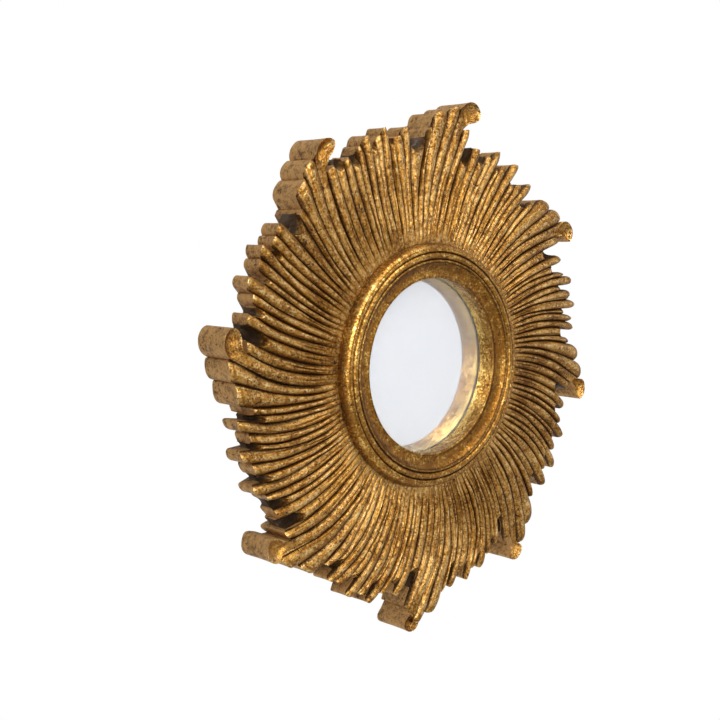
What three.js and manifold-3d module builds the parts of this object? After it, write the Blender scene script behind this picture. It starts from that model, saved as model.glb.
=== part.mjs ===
// A round mirror in a turned ring moulding, set in a carved and gilded sunburst frame.
// Sizes are millimetres. Everything is drawn lying on its back: x runs right, y runs up the frame
// and z is the height above the frame's back plane. The last lines stand it up, facing -Y.
import * as THREE from 'three';
import { mergeVertices } from 'three/addons/utils/BufferGeometryUtils.js';
import Module from 'manifold-3d';

// Clearances
const SEAT_GAP = 0.3;            // between two pieces that rest on each other
const JOINT_GAP = 0.3;           // glue joint between two carved segments
const PIN_CLEARANCE = 0.35;      // round the bar of a D-ring in its strap

// Mirror glass
const SIGHT_RADIUS = 103.8;      // what the ring leaves clear
const GLASS_OVERLAP = 9.2;       // how far the glass runs under the ring
const GLASS_THICKNESS = 4;
const GLASS_BULGE = 2.5;         // rise of the gently convex face at its middle
const GLASS_DEPTH = 23.5;        // from the ring's lip down to the glass

// Ring moulding
const LIP_HEIGHT = 52.9;
const BEAD_RISE = 7.5;           // top of the fillets above the lip
const RING_WIDTH = 41.2;         // from the lip to the foot
const REBATE_WALL = 8.5;         // ring wall outside the glass
const THROAT_FLARE = 2.2;        // the throat is this much wider at the glass

// Carved sunburst
const FACE_HEIGHT = 46.5;        // flat seat under the ring, above the back plane
const CREST_RISE = 1;            // crests of the rays above that seat
const GROOVE_DEPTH = 3.6;        // grooves between rays, below the crests
const RECESS_HEIGHT = 22;        // dark pockets between ray tips, above the back plane
const HEEL_RISE = 17;            // hollowed underside of the small tips
const TIP_RADIUS = 270;          // circle that the tips of the rays keep near
const POCKET_LENGTH = 26;        // from a pocket's inner end to the circle of the tips
const POCKET_DROP = 5;           // run of the pocket's inner wall
const NOTCH_DEPTH = 9;           // notch between two small tips
const LOBE_NOTCH = 3.5;          // shallower notch between the lobes beside a scroll
const TIP_SLANT = 2.5;           // the counter-clockwise shoulder of a tip stays this much shorter
const UNEVENNESS = 3;            // hand-carved differences in the reach of the tips
const PLANING_ALLOWANCE = 2;     // carved stock below the back plane, planed off flat

// Hooked scrolls
const HOOK_LENGTH = 17;          // half length of the curl, across the ray
const HOOK_WIDTH = 23;           // the curl, along the ray
const STEM_WIDTH = 9;            // where the stem of the curl rises out of its ray
const DISH_DEPTH = 4;            // spoon-shaped hollow in the curl
const CURL_RISE = 0.4;           // flat top of the curl above the crests

// Back
const BOARD_LANDING = 13.5;      // how far the backing board laps onto the segments
const BOARD_THICKNESS = 6;
const SCREW_RADIUS = 1.75;
const SCREW_LENGTH = 18;
const SCREW_HEAD_RADIUS = 4;
const SCREW_HEAD_HEIGHT = 2.3;
const STRAP_WIDTH = 10;
const STRAP_THICKNESS = 1;
const STRAP_LENGTH = 34;
const STRAP_SCREWS = [9, 26];    // down the strap from its loop
const PAN_HEAD_RADIUS = 3.5;
const PAN_HEAD_HEIGHT = 1.4;
const STRAP_SCREW_LENGTH = 14;
const RING_WIRE_RADIUS = 1.25;
const RING_BEND_RADIUS = 9;      // of the D, to the middle of its wire
const RING_LEAN = 4;             // degrees: the ring leans on the back behind it
const HANGER_SETBACK = 66;       // of a strap's eye, inside the circle of the tips
const HANGER_ANGLE = 36;         // above the horizontal
const BUMPER_RADIUS = 9;
const BUMPER_THICKNESS = 6;
const BUMPER_SETBACK = 64;       // inside the circle of the tips
const BUMPER_ANGLES = [234.8, 305.2, 111.5, 68.5];

// The eight scrolls, counter-clockwise: where the curl is, how far it reaches past the circle of the
// tips, how late the rays after it sweep round (1 is a straight sweep), how far they first lean back,
// and the share of the tips that the recess beside its lobes takes up.
const SCROLLS = [
  { angle: 32, past: 45, lateness: 1.4, lean: 0, gap: 3.2 },
  { angle: 77.5, past: 51, lateness: 1.3, lean: 0, gap: 7.2 },
  { angle: 123.4, past: 36, lateness: 1.4, lean: 0, gap: 5.2 },
  { angle: 171, past: 32, lateness: 1.6, lean: 0.4, gap: 1 },
  { angle: 218, past: 38, lateness: 2, lean: 1.6, gap: 2.6 },
  { angle: 265.4, past: 55, lateness: 2, lean: 2.4, gap: 2 },
  { angle: 302.5, past: 45, lateness: 1.8, lean: 1.4, gap: 3.4 },
  { angle: 350, past: 40, lateness: 1.5, lean: 0.4, gap: 2.8 },
];

// The rays of one sector, counter-clockwise. Their widths at the ring and at the tips are shares. A
// scroll's own rays stay short of its curl; the others end past the circle of the tips, or inside it.
// The recess beside the lobes has its share at the tips from its scroll.
const RAYS = [
  { kind: 'under', atRing: 3.5, atTip: 2.8, short: 33 },
  { kind: 'hook', atRing: 3.7, atTip: 3.2, short: 25 },
  { kind: 'flank', atRing: 2.4, atTip: 4.0, short: 12 },
  { kind: 'flank', atRing: 2.4, atTip: 4.6, short: 22 },
  { kind: 'flank', atRing: 2.3, atTip: 1.6, short: 42 },
  { kind: 'pocket', atRing: 2.2, past: -5 },
  { kind: 'ray', atRing: 3.0, atTip: 2.9, past: 11 },
  { kind: 'ray', atRing: 2.2, atTip: 2.9, past: 3 },
  { kind: 'pocket', atRing: 2.1, atTip: 1.6, past: -4 },
  { kind: 'ray', atRing: 3.0, atTip: 2.8, past: 16 },
  { kind: 'ray', atRing: 2.2, atTip: 2.8, past: 7 },
  { kind: 'pocket', atRing: 2.0, atTip: 1.8, past: -4 },
  { kind: 'ray', atRing: 3.0, atTip: 3.0, past: 15 },
  { kind: 'ray', atRing: 2.3, atTip: 2.2, past: 3 },
  { kind: 'pocket', atRing: 2.2, atTip: 2.6, past: -4 },
  { kind: 'ray', atRing: 3.5, atTip: 2.8, past: 3 },
  { kind: 'pocket', atRing: 3.7, atTip: 3.2, past: 1 },
];
const START_AT_RING = 5;         // degrees from a curl to the first groove of its sector, at the ring
const START_AT_TIP = -1;         // and at the tips
const SHOULDER = 0.24;           // a ray's upper edges lie this share of its width inside its grooves

// Dependent sizes
const THROAT_RADIUS = SIGHT_RADIUS + THROAT_FLARE;
const GLASS_RADIUS = SIGHT_RADIUS + GLASS_OVERLAP;
const REBATE_RADIUS = GLASS_RADIUS + SEAT_GAP;
const SPIGOT_RADIUS = REBATE_RADIUS + REBATE_WALL;
const BORE_RADIUS = SPIGOT_RADIUS + SEAT_GAP;
const BOARD_RADIUS = BORE_RADIUS + BOARD_LANDING;
const SCREW_CIRCLE_RADIUS = BORE_RADIUS + BOARD_LANDING / 2;
const RABBET_RADIUS = BOARD_RADIUS + SEAT_GAP;
const RABBET_DEPTH = BOARD_THICKNESS + SEAT_GAP;
const FOOT_RADIUS = SIGHT_RADIUS + RING_WIDTH;
const SEAT_RADIUS = FOOT_RADIUS + 1.5;
const RING_SEAT = FACE_HEIGHT + SEAT_GAP;
const GLASS_TOP = LIP_HEIGHT - GLASS_DEPTH;
const GLASS_BACK = GLASS_TOP - GLASS_THICKNESS;
const AXIS_HEIGHT = -(SEAT_GAP + STRAP_THICKNESS + PIN_CLEARANCE + RING_WIRE_RADIUS);
const CREST_HEIGHT = FACE_HEIGHT + CREST_RISE;
const POCKET_RADIUS = TIP_RADIUS - POCKET_LENGTH;
const RAY_RUN = POCKET_RADIUS - FOOT_RADIUS;
const STATIONS = [
  BORE_RADIUS, SEAT_RADIUS, FOOT_RADIUS + RAY_RUN / 3, FOOT_RADIUS + RAY_RUN * 2 / 3,
  POCKET_RADIUS, POCKET_RADIUS + POCKET_DROP,
];

const finish = {
  gilding: new THREE.MeshStandardMaterial({ color: 0xa9772f, roughness: 0.42, metalness: 0.85 }),
  ringGilding: new THREE.MeshStandardMaterial({ color: 0xa36f2c, roughness: 0.34, metalness: 0.85 }),
  silvering: new THREE.MeshStandardMaterial({ color: 0xdfe3ee, roughness: 0.03, metalness: 1 }),
  softwood: new THREE.MeshStandardMaterial({ color: 0xb08d5f, roughness: 0.8, metalness: 0 }),
  board: new THREE.MeshStandardMaterial({ color: 0x8a6a44, roughness: 0.85, metalness: 0 }),
  brass: new THREE.MeshStandardMaterial({ color: 0xb48f45, roughness: 0.35, metalness: 1 }),
  steel: new THREE.MeshStandardMaterial({ color: 0xb9b9b6, roughness: 0.35, metalness: 1 }),
  felt: new THREE.MeshStandardMaterial({ color: 0x5a4a3a, roughness: 0.95, metalness: 0 }),
};

const wasm = await Module();
wasm.setup();
const group = new THREE.Group();
const radians = THREE.MathUtils.degToRad;

function polar(radius, degrees) {
  return new THREE.Vector2(Math.cos(radians(degrees)), Math.sin(radians(degrees))).multiplyScalar(radius);
}

const hanger = polar(TIP_RADIUS - HANGER_SETBACK, HANGER_ANGLE);

function addPiece(name, geometry, material) {
  const mesh = new THREE.Mesh(geometry, material);
  mesh.name = name;
  group.add(mesh);
}

// ---- Joining and cutting closed solids

function toSolid(geometry) {
  const bare = geometry.clone();
  bare.deleteAttribute('normal');
  bare.deleteAttribute('uv');
  const merged = mergeVertices(bare);
  return new wasm.Manifold(new wasm.Mesh({
    numProp: 3,
    vertProperties: new Float32Array(merged.attributes.position.array),
    triVerts: new Uint32Array(merged.index.array),
  }));
}

function toGeometry(solid) {
  const mesh = solid.getMesh();
  const geometry = new THREE.BufferGeometry();
  geometry.setAttribute('position', new THREE.BufferAttribute(mesh.vertProperties, 3));
  geometry.setIndex(new THREE.BufferAttribute(mesh.triVerts, 1));
  geometry.computeVertexNormals();
  return geometry;
}

// A turned solid about the z axis. The profile holds [radius, height] pairs, bottom of the axis
// first, or a closed loop taken counter-clockwise.
function turned(profile, sides) {
  const points = profile.map(([radius, height]) => new THREE.Vector2(radius, height));
  return new THREE.LatheGeometry(points, sides).rotateX(Math.PI / 2);
}

// ---- Carved sunburst

// How far the tip of a ray reaches, with the small differences of hand carving.
function reachOf(ray, scroll, index) {
  const uneven = UNEVENNESS * Math.sin(scroll.angle + 2.3 * index);
  const past = ray.short ? scroll.past - ray.short : ray.past + uneven;
  return TIP_RADIUS + past;
}

function topAt(radius, line) {
  if (radius <= SEAT_RADIUS) return FACE_HEIGHT;
  if (line.pocket && radius > POCKET_RADIUS) return RECESS_HEIGHT;
  return line.groove ? CREST_HEIGHT - GROOVE_DEPTH : CREST_HEIGHT;
}

function undersideAt(radius, line) {
  return line.fullDepth || radius < line.reach ? -PLANING_ALLOWANCE : HEEL_RISE;
}

// The groove on the clockwise side of a ray, between it and the ray before it.
function grooveBeside(ray, reach, before, reachBefore) {
  const pocket = [ray, before].some(({ kind }) => kind === 'pocket');
  const fullDepth = ![ray, before].some(({ kind }) => kind === 'pocket' || kind === 'ray');
  const notch = fullDepth ? LOBE_NOTCH : NOTCH_DEPTH;
  const lower = Math.min(reach, reachBefore);
  return { groove: true, pocket, fullDepth, reach: pocket ? lower : lower - notch };
}

// The lines that run out along the rays: two shoulders on each ray and a groove between two rays.
function raylines(scroll, next) {
  const span = (next.angle - scroll.angle + 360) % 360;
  const ringTotal = RAYS.reduce((sum, ray) => sum + ray.atRing, 0);
  const tipShareOf = (ray) => ray.atTip ?? scroll.gap;
  const tipTotal = RAYS.reduce((sum, ray) => sum + tipShareOf(ray), 0);
  const lines = [];
  let ringShare = 0;
  let tipShare = 0;
  const addLine = (values) => lines.push({
    ...values,
    between: ringShare / ringTotal,
    lateness: THREE.MathUtils.lerp(scroll.lateness, next.lateness, ringShare / ringTotal),
    ringAngle: scroll.angle + START_AT_RING + span * ringShare / ringTotal,
    tipAngle: scroll.angle + START_AT_TIP + span * tipShare / tipTotal,
  });
  const advance = (ray, share) => {
    ringShare += ray.atRing * share;
    tipShare += tipShareOf(ray) * share;
  };
  let before = RAYS[0];
  let reachBefore = reachOf(before, scroll, 0);
  RAYS.forEach((ray, index) => {
    const reach = reachOf(ray, scroll, index);
    const pocket = ray.kind === 'pocket';
    addLine(grooveBeside(ray, reach, before, reachBefore));
    advance(ray, SHOULDER);
    addLine({ groove: false, pocket, fullDepth: !pocket && ray.kind !== 'ray', reach });
    advance(ray, 1 - 2 * SHOULDER);
    addLine({ groove: false, pocket, fullDepth: !pocket && ray.kind !== 'ray', reach: reach - TIP_SLANT });
    advance(ray, SHOULDER);
    before = ray;
    reachBefore = reach;
  });
  addLine({ groove: true, pocket: true, fullDepth: false, reach: reachBefore });
  return lines;
}

// One line as a section of the segment: out along the carved top and back along the underside.
// It sweeps round as far as the last station and runs straight from there to its tip.
function sectionAlong(line, scroll, sideShift) {
  const swept = (radius) => {
    const along = Math.max(radius - FOOT_RADIUS, 0) / (TIP_RADIUS - FOOT_RADIUS);
    const sweep = (line.tipAngle - line.ringAngle) * along ** line.lateness;
    const bow = Math.sin(Math.PI * line.between) * Math.sin(Math.PI * Math.min(along, 1));
    const angle = line.ringAngle + sweep + scroll.lean * bow;
    return polar(radius, angle + THREE.MathUtils.radToDeg(sideShift / radius));
  };
  const straightFrom = STATIONS.at(-1);
  const place = (radius, height) => {
    const beyond = Math.max(radius - straightFrom, 0) / (TIP_RADIUS - straightFrom);
    const point = swept(Math.min(radius, straightFrom)).lerp(swept(TIP_RADIUS), beyond);
    return new THREE.Vector3(point.x, point.y, height);
  };
  const radii = [...STATIONS, line.reach];
  const top = radii.map((radius) => place(radius, topAt(radius, line)));
  const underside = radii.map((radius) => place(radius, undersideAt(radius, line)));
  return [...top, ...underside.reverse()];
}

// A closed skin over a row of sections. The first and the last stand upright: each is closed by
// upright strips between its top and its underside.
function skinOver(sections) {
  const count = sections[0].length;
  const lastRow = (sections.length - 1) * count;
  const points = sections.flat();
  const faces = [];
  for (let row = 0; row < lastRow; row += count) {
    for (let i = 0; i < count; i += 1) {
      const here = row + i;
      const beside = row + (i + 1) % count;
      faces.push(here, beside, here + count, beside, beside + count, here + count);
    }
  }
  for (let i = 0; i + 1 < count / 2; i += 1) {
    const strip = [i, i + 1, count - 2 - i, count - 1 - i];
    const [a, b, c, d] = strip;
    faces.push(a, c, b, a, d, c);
    const [e, f, g, h] = strip.map((corner) => corner + lastRow);
    faces.push(e, f, g, e, g, h);
  }
  const geometry = new THREE.BufferGeometry();
  geometry.setAttribute('position', new THREE.Float32BufferAttribute(
    points.flatMap((point) => [point.x, point.y, point.z]), 3));
  geometry.setIndex(faces);
  return geometry;
}

// The curl of a scroll and its stem, the full depth of the frame, drawn about the middle of the
// curl: x runs back along the curl, y outwards. The stem leaves it on the counter-clockwise side.
function hookSolid(scroll) {
  const root = new THREE.Vector2(-HOOK_LENGTH * 1.75, -HOOK_WIDTH * 2.2);
  const outline = [
    [-1.5, -1.3], [-1.15, -0.25], [-0.4, 0.38], [0.25, 0.5], [0.8, 0.28], [1, -0.12],
    [0.72, -0.45], [0.1, -0.5], [-0.4, -0.68], [-0.8, -1.3],
  ].map(([x, y]) => new THREE.Vector2(x * HOOK_LENGTH, y * HOOK_WIDTH));
  outline.push(new THREE.Vector2(root.x + STEM_WIDTH, root.y));
  const shape = new THREE.Shape();
  shape.moveTo(root.x, root.y);
  shape.splineThru(outline);
  shape.closePath();
  const slab = new THREE.ExtrudeGeometry(shape, {
    depth: CREST_HEIGHT + CURL_RISE, bevelEnabled: false, curveSegments: 2 });
  const dish = new THREE.SphereGeometry(1, 12, 8).scale(HOOK_LENGTH * 0.7, HOOK_WIDTH * 0.4, DISH_DEPTH);
  dish.translate(0, 0, CREST_HEIGHT + CURL_RISE);
  const solid = toSolid(slab).subtract(toSolid(dish));
  const turn = new THREE.Matrix4().makeRotationZ(radians(scroll.angle - 90));
  const out = polar(TIP_RADIUS + scroll.past - HOOK_WIDTH * 0.5, scroll.angle);
  return toSolid(toGeometry(solid).applyMatrix4(turn).translate(out.x, out.y, 0));
}

// Everything that is screwed into the sunburst, a clearance wider all round.
function screwHoles() {
  const holes = [];
  for (let index = 0; index < SCROLLS.length; index += 1) holes.push(boardScrew(index, SEAT_GAP));
  for (const side of [-1, 1]) {
    STRAP_SCREWS.forEach((drop) => holes.push(strapScrew(side, drop, SEAT_GAP)));
  }
  return holes.map(toSolid).reduce((all, hole) => all.add(hole));
}

function segmentSolid(index) {
  const scroll = SCROLLS[index];
  const next = SCROLLS[(index + 1) % SCROLLS.length];
  const lines = raylines(scroll, next);
  const sections = lines.map((line, i) => {
    const shift = i === 0 ? JOINT_GAP / 2 : 0;
    return sectionAlong(line, scroll, i === lines.length - 1 ? -JOINT_GAP / 2 : shift);
  });
  return toSolid(skinOver(sections)).add(hookSolid(scroll));
}

function addSunburst() {
  const low = -PLANING_ALLOWANCE * 2;
  const rabbet = turned([
    [0, low], [RABBET_RADIUS, low], [RABBET_RADIUS, RABBET_DEPTH], [0, RABBET_DEPTH]], 64);
  const waste = new THREE.BoxGeometry(TIP_RADIUS * 3, TIP_RADIUS * 3, -low).translate(0, 0, low / 2);
  const cuts = [rabbet, waste].map(toSolid).reduce((all, cut) => all.add(cut), screwHoles());
  SCROLLS.forEach((scroll, index) => {
    const carved = segmentSolid(index).subtract(cuts);
    addPiece(`sunburst_segment_${index + 1}`, toGeometry(carved), finish.gilding);
  });
}

// ---- Ring moulding and glass

function addRing() {
  const top = LIP_HEIGHT + BEAD_RISE;
  const at = (share) => SIGHT_RADIUS + RING_WIDTH * share;
  const profile = [
    [at(0), LIP_HEIGHT], [at(0.04), LIP_HEIGHT + 1.2],
    [at(0.16), LIP_HEIGHT - 0.2], [at(0.3), LIP_HEIGHT + 0.8], [at(0.43), LIP_HEIGHT + 4.5],
    [at(0.49), top], [at(0.535), top - 2.4],
    [at(0.59), top + 0.5], [at(0.645), top + 1.4], [at(0.7), top + 0.5], [at(0.74), top - 2.4],
    [at(0.77), top], [at(0.86), top - 0.6], [at(0.94), top - 3.6],
    [at(0.99), top - 8.5], [at(1), RING_SEAT],
    [SPIGOT_RADIUS, RING_SEAT], [SPIGOT_RADIUS, RABBET_DEPTH + SEAT_GAP],
    [REBATE_RADIUS, RABBET_DEPTH + SEAT_GAP], [REBATE_RADIUS, GLASS_TOP + SEAT_GAP],
    [THROAT_RADIUS, GLASS_TOP + SEAT_GAP], [at(0), LIP_HEIGHT],
  ];
  addPiece('ring_moulding', turned(profile.reverse(), 40), finish.ringGilding);
}

function addGlass() {
  const steps = 3;
  const profile = [];
  for (let i = 0; i <= steps; i += 1) {
    const share = i / steps;
    profile.push([GLASS_RADIUS * share, GLASS_BACK + GLASS_BULGE * (1 - share * share)]);
  }
  for (let i = steps; i >= 0; i -= 1) {
    const share = i / steps;
    profile.push([GLASS_RADIUS * share, GLASS_TOP + GLASS_BULGE * (1 - share * share)]);
  }
  addPiece('mirror_glass', turned(profile, 40), finish.silvering);
}

function addPackingRing() {
  const width = GLASS_OVERLAP + 6;
  const low = RABBET_DEPTH;
  const high = GLASS_BACK - SEAT_GAP;
  const profile = [
    [GLASS_RADIUS - width, low], [GLASS_RADIUS, low], [GLASS_RADIUS, high],
    [GLASS_RADIUS - width, high], [GLASS_RADIUS - width, low],
  ];
  addPiece('packing_ring', turned(profile, 40), finish.softwood);
}

// ---- Back

// A wood screw pointing up into the frame, its head at the bottom.
function screwAt(x, y, top, head, shankRadius, length, clearance) {
  const profile = [
    [0, top - clearance], ...head.map(([radius, height]) => [radius + clearance, top + height]),
    [shankRadius + clearance, top + length * 0.8], [0, top + length + clearance],
  ];
  return turned(profile, 10).translate(x, y, 0);
}

function boardScrew(index, clearance) {
  const place = polar(SCREW_CIRCLE_RADIUS, SCROLLS[index].angle + START_AT_RING + 22);
  const head = [[SCREW_HEAD_RADIUS, -clearance], [SCREW_RADIUS, SCREW_HEAD_HEIGHT]];
  return screwAt(place.x, place.y, 0, head, SCREW_RADIUS, SCREW_LENGTH, clearance);
}

function strapScrew(side, drop, clearance) {
  const plate = -SEAT_GAP - STRAP_THICKNESS;
  const head = [
    [PAN_HEAD_RADIUS * 0.6, -SEAT_GAP - PAN_HEAD_HEIGHT], [PAN_HEAD_RADIUS, -SEAT_GAP - 0.4],
    [PAN_HEAD_RADIUS, -SEAT_GAP], [SCREW_RADIUS, -SEAT_GAP],
  ];
  if (clearance > 0) head.splice(0, 3, [SCREW_RADIUS, -SEAT_GAP]);
  return screwAt(side * hanger.x, hanger.y - drop, plate, head, SCREW_RADIUS, STRAP_SCREW_LENGTH, clearance);
}

function addBackingBoard() {
  const profile = [[0, 0], [BOARD_RADIUS, 0], [BOARD_RADIUS, BOARD_THICKNESS], [0, BOARD_THICKNESS]];
  const holes = SCROLLS.map((scroll, index) => toSolid(boardScrew(index, SEAT_GAP)));
  const board = holes.reduce((rest, hole) => rest.subtract(hole), toSolid(turned(profile, 48)));
  addPiece('backing_board', toGeometry(board), finish.board);
  SCROLLS.forEach((scroll, index) => {
    addPiece(`board_screw_${index + 1}`, boardScrew(index, 0), finish.steel);
  });
}

// A cylinder along x, centred.
function barAlongX(radius, length, sides) {
  return new THREE.CylinderGeometry(radius, radius, length, sides).rotateZ(Math.PI / 2);
}

// The folded strap: a flat plate with an eye at its top that holds the bar of the D-ring.
function strapSolid(side) {
  const eye = PIN_CLEARANCE + RING_WIRE_RADIUS;
  const x = side * hanger.x;
  const plateHeight = -SEAT_GAP - STRAP_THICKNESS / 2;
  const plate = new THREE.BoxGeometry(STRAP_WIDTH, STRAP_LENGTH, STRAP_THICKNESS);
  plate.translate(x, hanger.y - STRAP_LENGTH / 2, plateHeight);
  const outer = barAlongX(eye + STRAP_THICKNESS, STRAP_WIDTH, 20).translate(x, hanger.y, AXIS_HEIGHT);
  const inner = barAlongX(eye, STRAP_WIDTH * 2, 20).translate(x, hanger.y, AXIS_HEIGHT);
  const holes = STRAP_SCREWS.map((drop) => toSolid(strapScrew(side, drop, SEAT_GAP)));
  const strap = toSolid(plate).add(toSolid(outer)).subtract(toSolid(inner));
  return holes.reduce((rest, hole) => rest.subtract(hole), strap);
}

// The D-ring: a straight bar closed by a bend, turned up and leaning on the frame's back.
function dRingSolid(side) {
  const bend = new THREE.TorusGeometry(RING_BEND_RADIUS, RING_WIRE_RADIUS, 8, 16);
  const legs = RING_BEND_RADIUS * 0.55;
  const reach = RING_BEND_RADIUS * 2;
  const half = new THREE.BoxGeometry(reach * 2, reach, reach).translate(0, reach / 2, 0);
  const arch = toGeometry(toSolid(bend).intersect(toSolid(half))).translate(0, legs, 0);
  const leg = new THREE.CylinderGeometry(RING_WIRE_RADIUS, RING_WIRE_RADIUS, legs + 0.4, 8);
  leg.rotateY(Math.PI / 8).translate(0, legs / 2, 0);
  const left = leg.clone().translate(-RING_BEND_RADIUS, 0, 0);
  const right = leg.clone().translate(RING_BEND_RADIUS, 0, 0);
  const bar = barAlongX(RING_WIRE_RADIUS, RING_BEND_RADIUS * 2 + RING_WIRE_RADIUS, 12);
  const solid = [left, right, bar].map(toSolid).reduce((all, next) => all.add(next), toSolid(arch));
  const ring = toGeometry(solid).rotateX(radians(RING_LEAN));
  return toSolid(ring.translate(side * hanger.x, hanger.y, AXIS_HEIGHT));
}

function addHangers() {
  for (const [name, side] of [['left', -1], ['right', 1]]) {
    addPiece(`hanger_strap_${name}`, toGeometry(strapSolid(side)), finish.brass);
    addPiece(`hanger_ring_${name}`, toGeometry(dRingSolid(side)), finish.brass);
    STRAP_SCREWS.forEach((drop, index) => {
      addPiece(`strap_screw_${name}_${index + 1}`, strapScrew(side, drop, 0), finish.brass);
    });
  }
}

function addBumpers() {
  const low = -SEAT_GAP - BUMPER_THICKNESS;
  BUMPER_ANGLES.forEach((angle, index) => {
    const place = polar(TIP_RADIUS - BUMPER_SETBACK, angle);
    const profile = [[0, low], [BUMPER_RADIUS - 1, low], [BUMPER_RADIUS, low + 1],
      [BUMPER_RADIUS, -SEAT_GAP], [0, -SEAT_GAP]];
    addPiece(`wall_bumper_${index + 1}`, turned(profile, 16).translate(place.x, place.y, 0), finish.felt);
  });
}

addSunburst();
addRing();
addGlass();
addPackingRing();
addBackingBoard();
addHangers();
addBumpers();

// Stand the frame up: its face turns to -Y and its top to +Z.
group.rotation.x = Math.PI / 2;

export default group;
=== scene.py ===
# %% [markdown]
# # A round mirror in a carved and gilded sunburst
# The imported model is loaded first. It is the frame that every piece here is fitted to: the same
# axes (x right, y into the wall, z up), the same metres and the same outer box.

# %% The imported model
import math

import bmesh
import bpy
import numpy as np
from mathutils import Matrix, Vector


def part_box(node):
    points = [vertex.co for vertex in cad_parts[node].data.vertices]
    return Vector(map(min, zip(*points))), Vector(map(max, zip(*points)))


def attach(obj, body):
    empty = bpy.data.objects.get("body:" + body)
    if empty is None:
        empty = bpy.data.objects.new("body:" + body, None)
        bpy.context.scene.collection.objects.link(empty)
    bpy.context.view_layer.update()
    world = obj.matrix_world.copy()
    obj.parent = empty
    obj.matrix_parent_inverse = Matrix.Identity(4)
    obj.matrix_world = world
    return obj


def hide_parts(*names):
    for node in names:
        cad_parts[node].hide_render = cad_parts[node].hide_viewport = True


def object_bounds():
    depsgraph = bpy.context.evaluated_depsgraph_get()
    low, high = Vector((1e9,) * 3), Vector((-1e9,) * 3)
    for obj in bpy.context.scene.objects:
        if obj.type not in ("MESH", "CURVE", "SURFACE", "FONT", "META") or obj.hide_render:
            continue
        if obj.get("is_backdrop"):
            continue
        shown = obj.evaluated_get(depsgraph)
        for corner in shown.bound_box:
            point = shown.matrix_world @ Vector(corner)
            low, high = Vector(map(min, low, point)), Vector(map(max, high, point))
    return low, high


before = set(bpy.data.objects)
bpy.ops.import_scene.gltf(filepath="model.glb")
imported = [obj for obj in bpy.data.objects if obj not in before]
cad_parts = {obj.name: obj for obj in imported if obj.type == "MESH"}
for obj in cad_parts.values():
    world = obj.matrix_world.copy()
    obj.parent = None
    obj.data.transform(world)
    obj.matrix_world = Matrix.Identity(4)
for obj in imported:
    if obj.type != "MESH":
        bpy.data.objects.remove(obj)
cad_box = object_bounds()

print("loaded", len(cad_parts), "nodes")

# %% [markdown]
# ## Bench units
# The frame is carved lying on its back, and so it is modelled: x right, y up the frame, and the
# height above the frame's back plane as z, in millimetres. The sizes that matter are read off the
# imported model.

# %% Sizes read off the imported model
MM = 0.001


def radius_of(node):
    low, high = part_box(node)
    return (high.x - low.x) / 2 / MM


def middle_of(node):
    low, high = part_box(node)
    return (low.x + high.x) / 2 / MM, (low.z + high.z) / 2 / MM


def heights_of(node):
    low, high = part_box(node)
    return -high.y / MM, -low.y / MM


FOOT_RADIUS = radius_of("ring_moulding")
GLASS_RADIUS = radius_of("mirror_glass")
BOARD_RADIUS = radius_of("backing_board")
RING_LOW, RING_TOP = heights_of("ring_moulding")
BOARD_THICKNESS = heights_of("backing_board")[1]
print("ring foot", round(FOOT_RADIUS, 1), "glass", round(GLASS_RADIUS, 1), "top", round(RING_TOP, 1))

# %% [markdown]
# ## From the bench to the wall
# A turned piece starts as a run of points that is spun round the z axis. Every finished piece is
# stood up, shrunk to metres and hung on the body it moves with, and the imported piece it stands for
# is hidden. Masks are numbers stored on a mesh, which its material reads.

# %% Spinning, closing, masking and hanging a piece
MERGE_DISTANCE = 0.0005


def only(items, kind):
    """The vertices or the edges among what an operator gives back."""
    return [item for item in items if isinstance(item, kind)]


def spun(points, steps, closed=False):
    """Spins points about z: an open run from axis to axis, or a closed loop that stays clear of it."""
    bm = bmesh.new()
    corners = [bm.verts.new(point) for point in points]
    following = corners[1:] + (corners[:1] if closed else [])
    lines = [bm.edges.new(pair) for pair in zip(corners, following)]
    bmesh.ops.spin(bm, geom=corners + lines, cent=(0, 0, 0), axis=(0, 0, 1), angle=2 * math.pi,
                   steps=steps, use_merge=True, use_duplicate=False)
    return bm


def to_mesh(bm, name, sharp_angle=40):
    """Closes off a bmesh as a smooth-shaded mesh whose crisp edges stay crisp."""
    bmesh.ops.remove_doubles(bm, verts=bm.verts, dist=MERGE_DISTANCE)
    bmesh.ops.recalc_face_normals(bm, faces=bm.faces)
    mesh = bpy.data.meshes.new(name)
    bm.to_mesh(mesh)
    bm.free()
    mesh.shade_smooth()
    mesh.set_sharp_from_angle(angle=math.radians(sharp_angle))
    return mesh


def write_mask(mesh, name, values, domain="POINT"):
    attribute = mesh.attributes.new(name, "FLOAT", domain)
    attribute.data.foreach_set("value", values.astype(np.float32))


def hang(mesh, name, nodes, body, slot, *materials):
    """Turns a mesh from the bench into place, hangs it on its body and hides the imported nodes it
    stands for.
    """
    mesh.transform(Matrix.Rotation(math.pi / 2, 4, "X") @ Matrix.Diagonal((MM, MM, MM, 1)))
    piece = bpy.data.objects.new(name, mesh)
    bpy.context.scene.collection.objects.link(piece)
    for material in materials:
        mesh.materials.append(material)
    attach(piece, body)
    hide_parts(*nodes)


# %% [markdown]
# ## Camera
# The photographer stands to the left of the mirror and a little above its middle. The angles come
# from the ellipses that the round opening and the ring draw in the photograph.

# %% Camera
CAMERA_AZIMUTH = -42.11
CAMERA_ELEVATION = 6.22
CAMERA_PLACE = Vector((-0.944284, -0.967045, 0.150144))
LENS = 55.91

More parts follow.
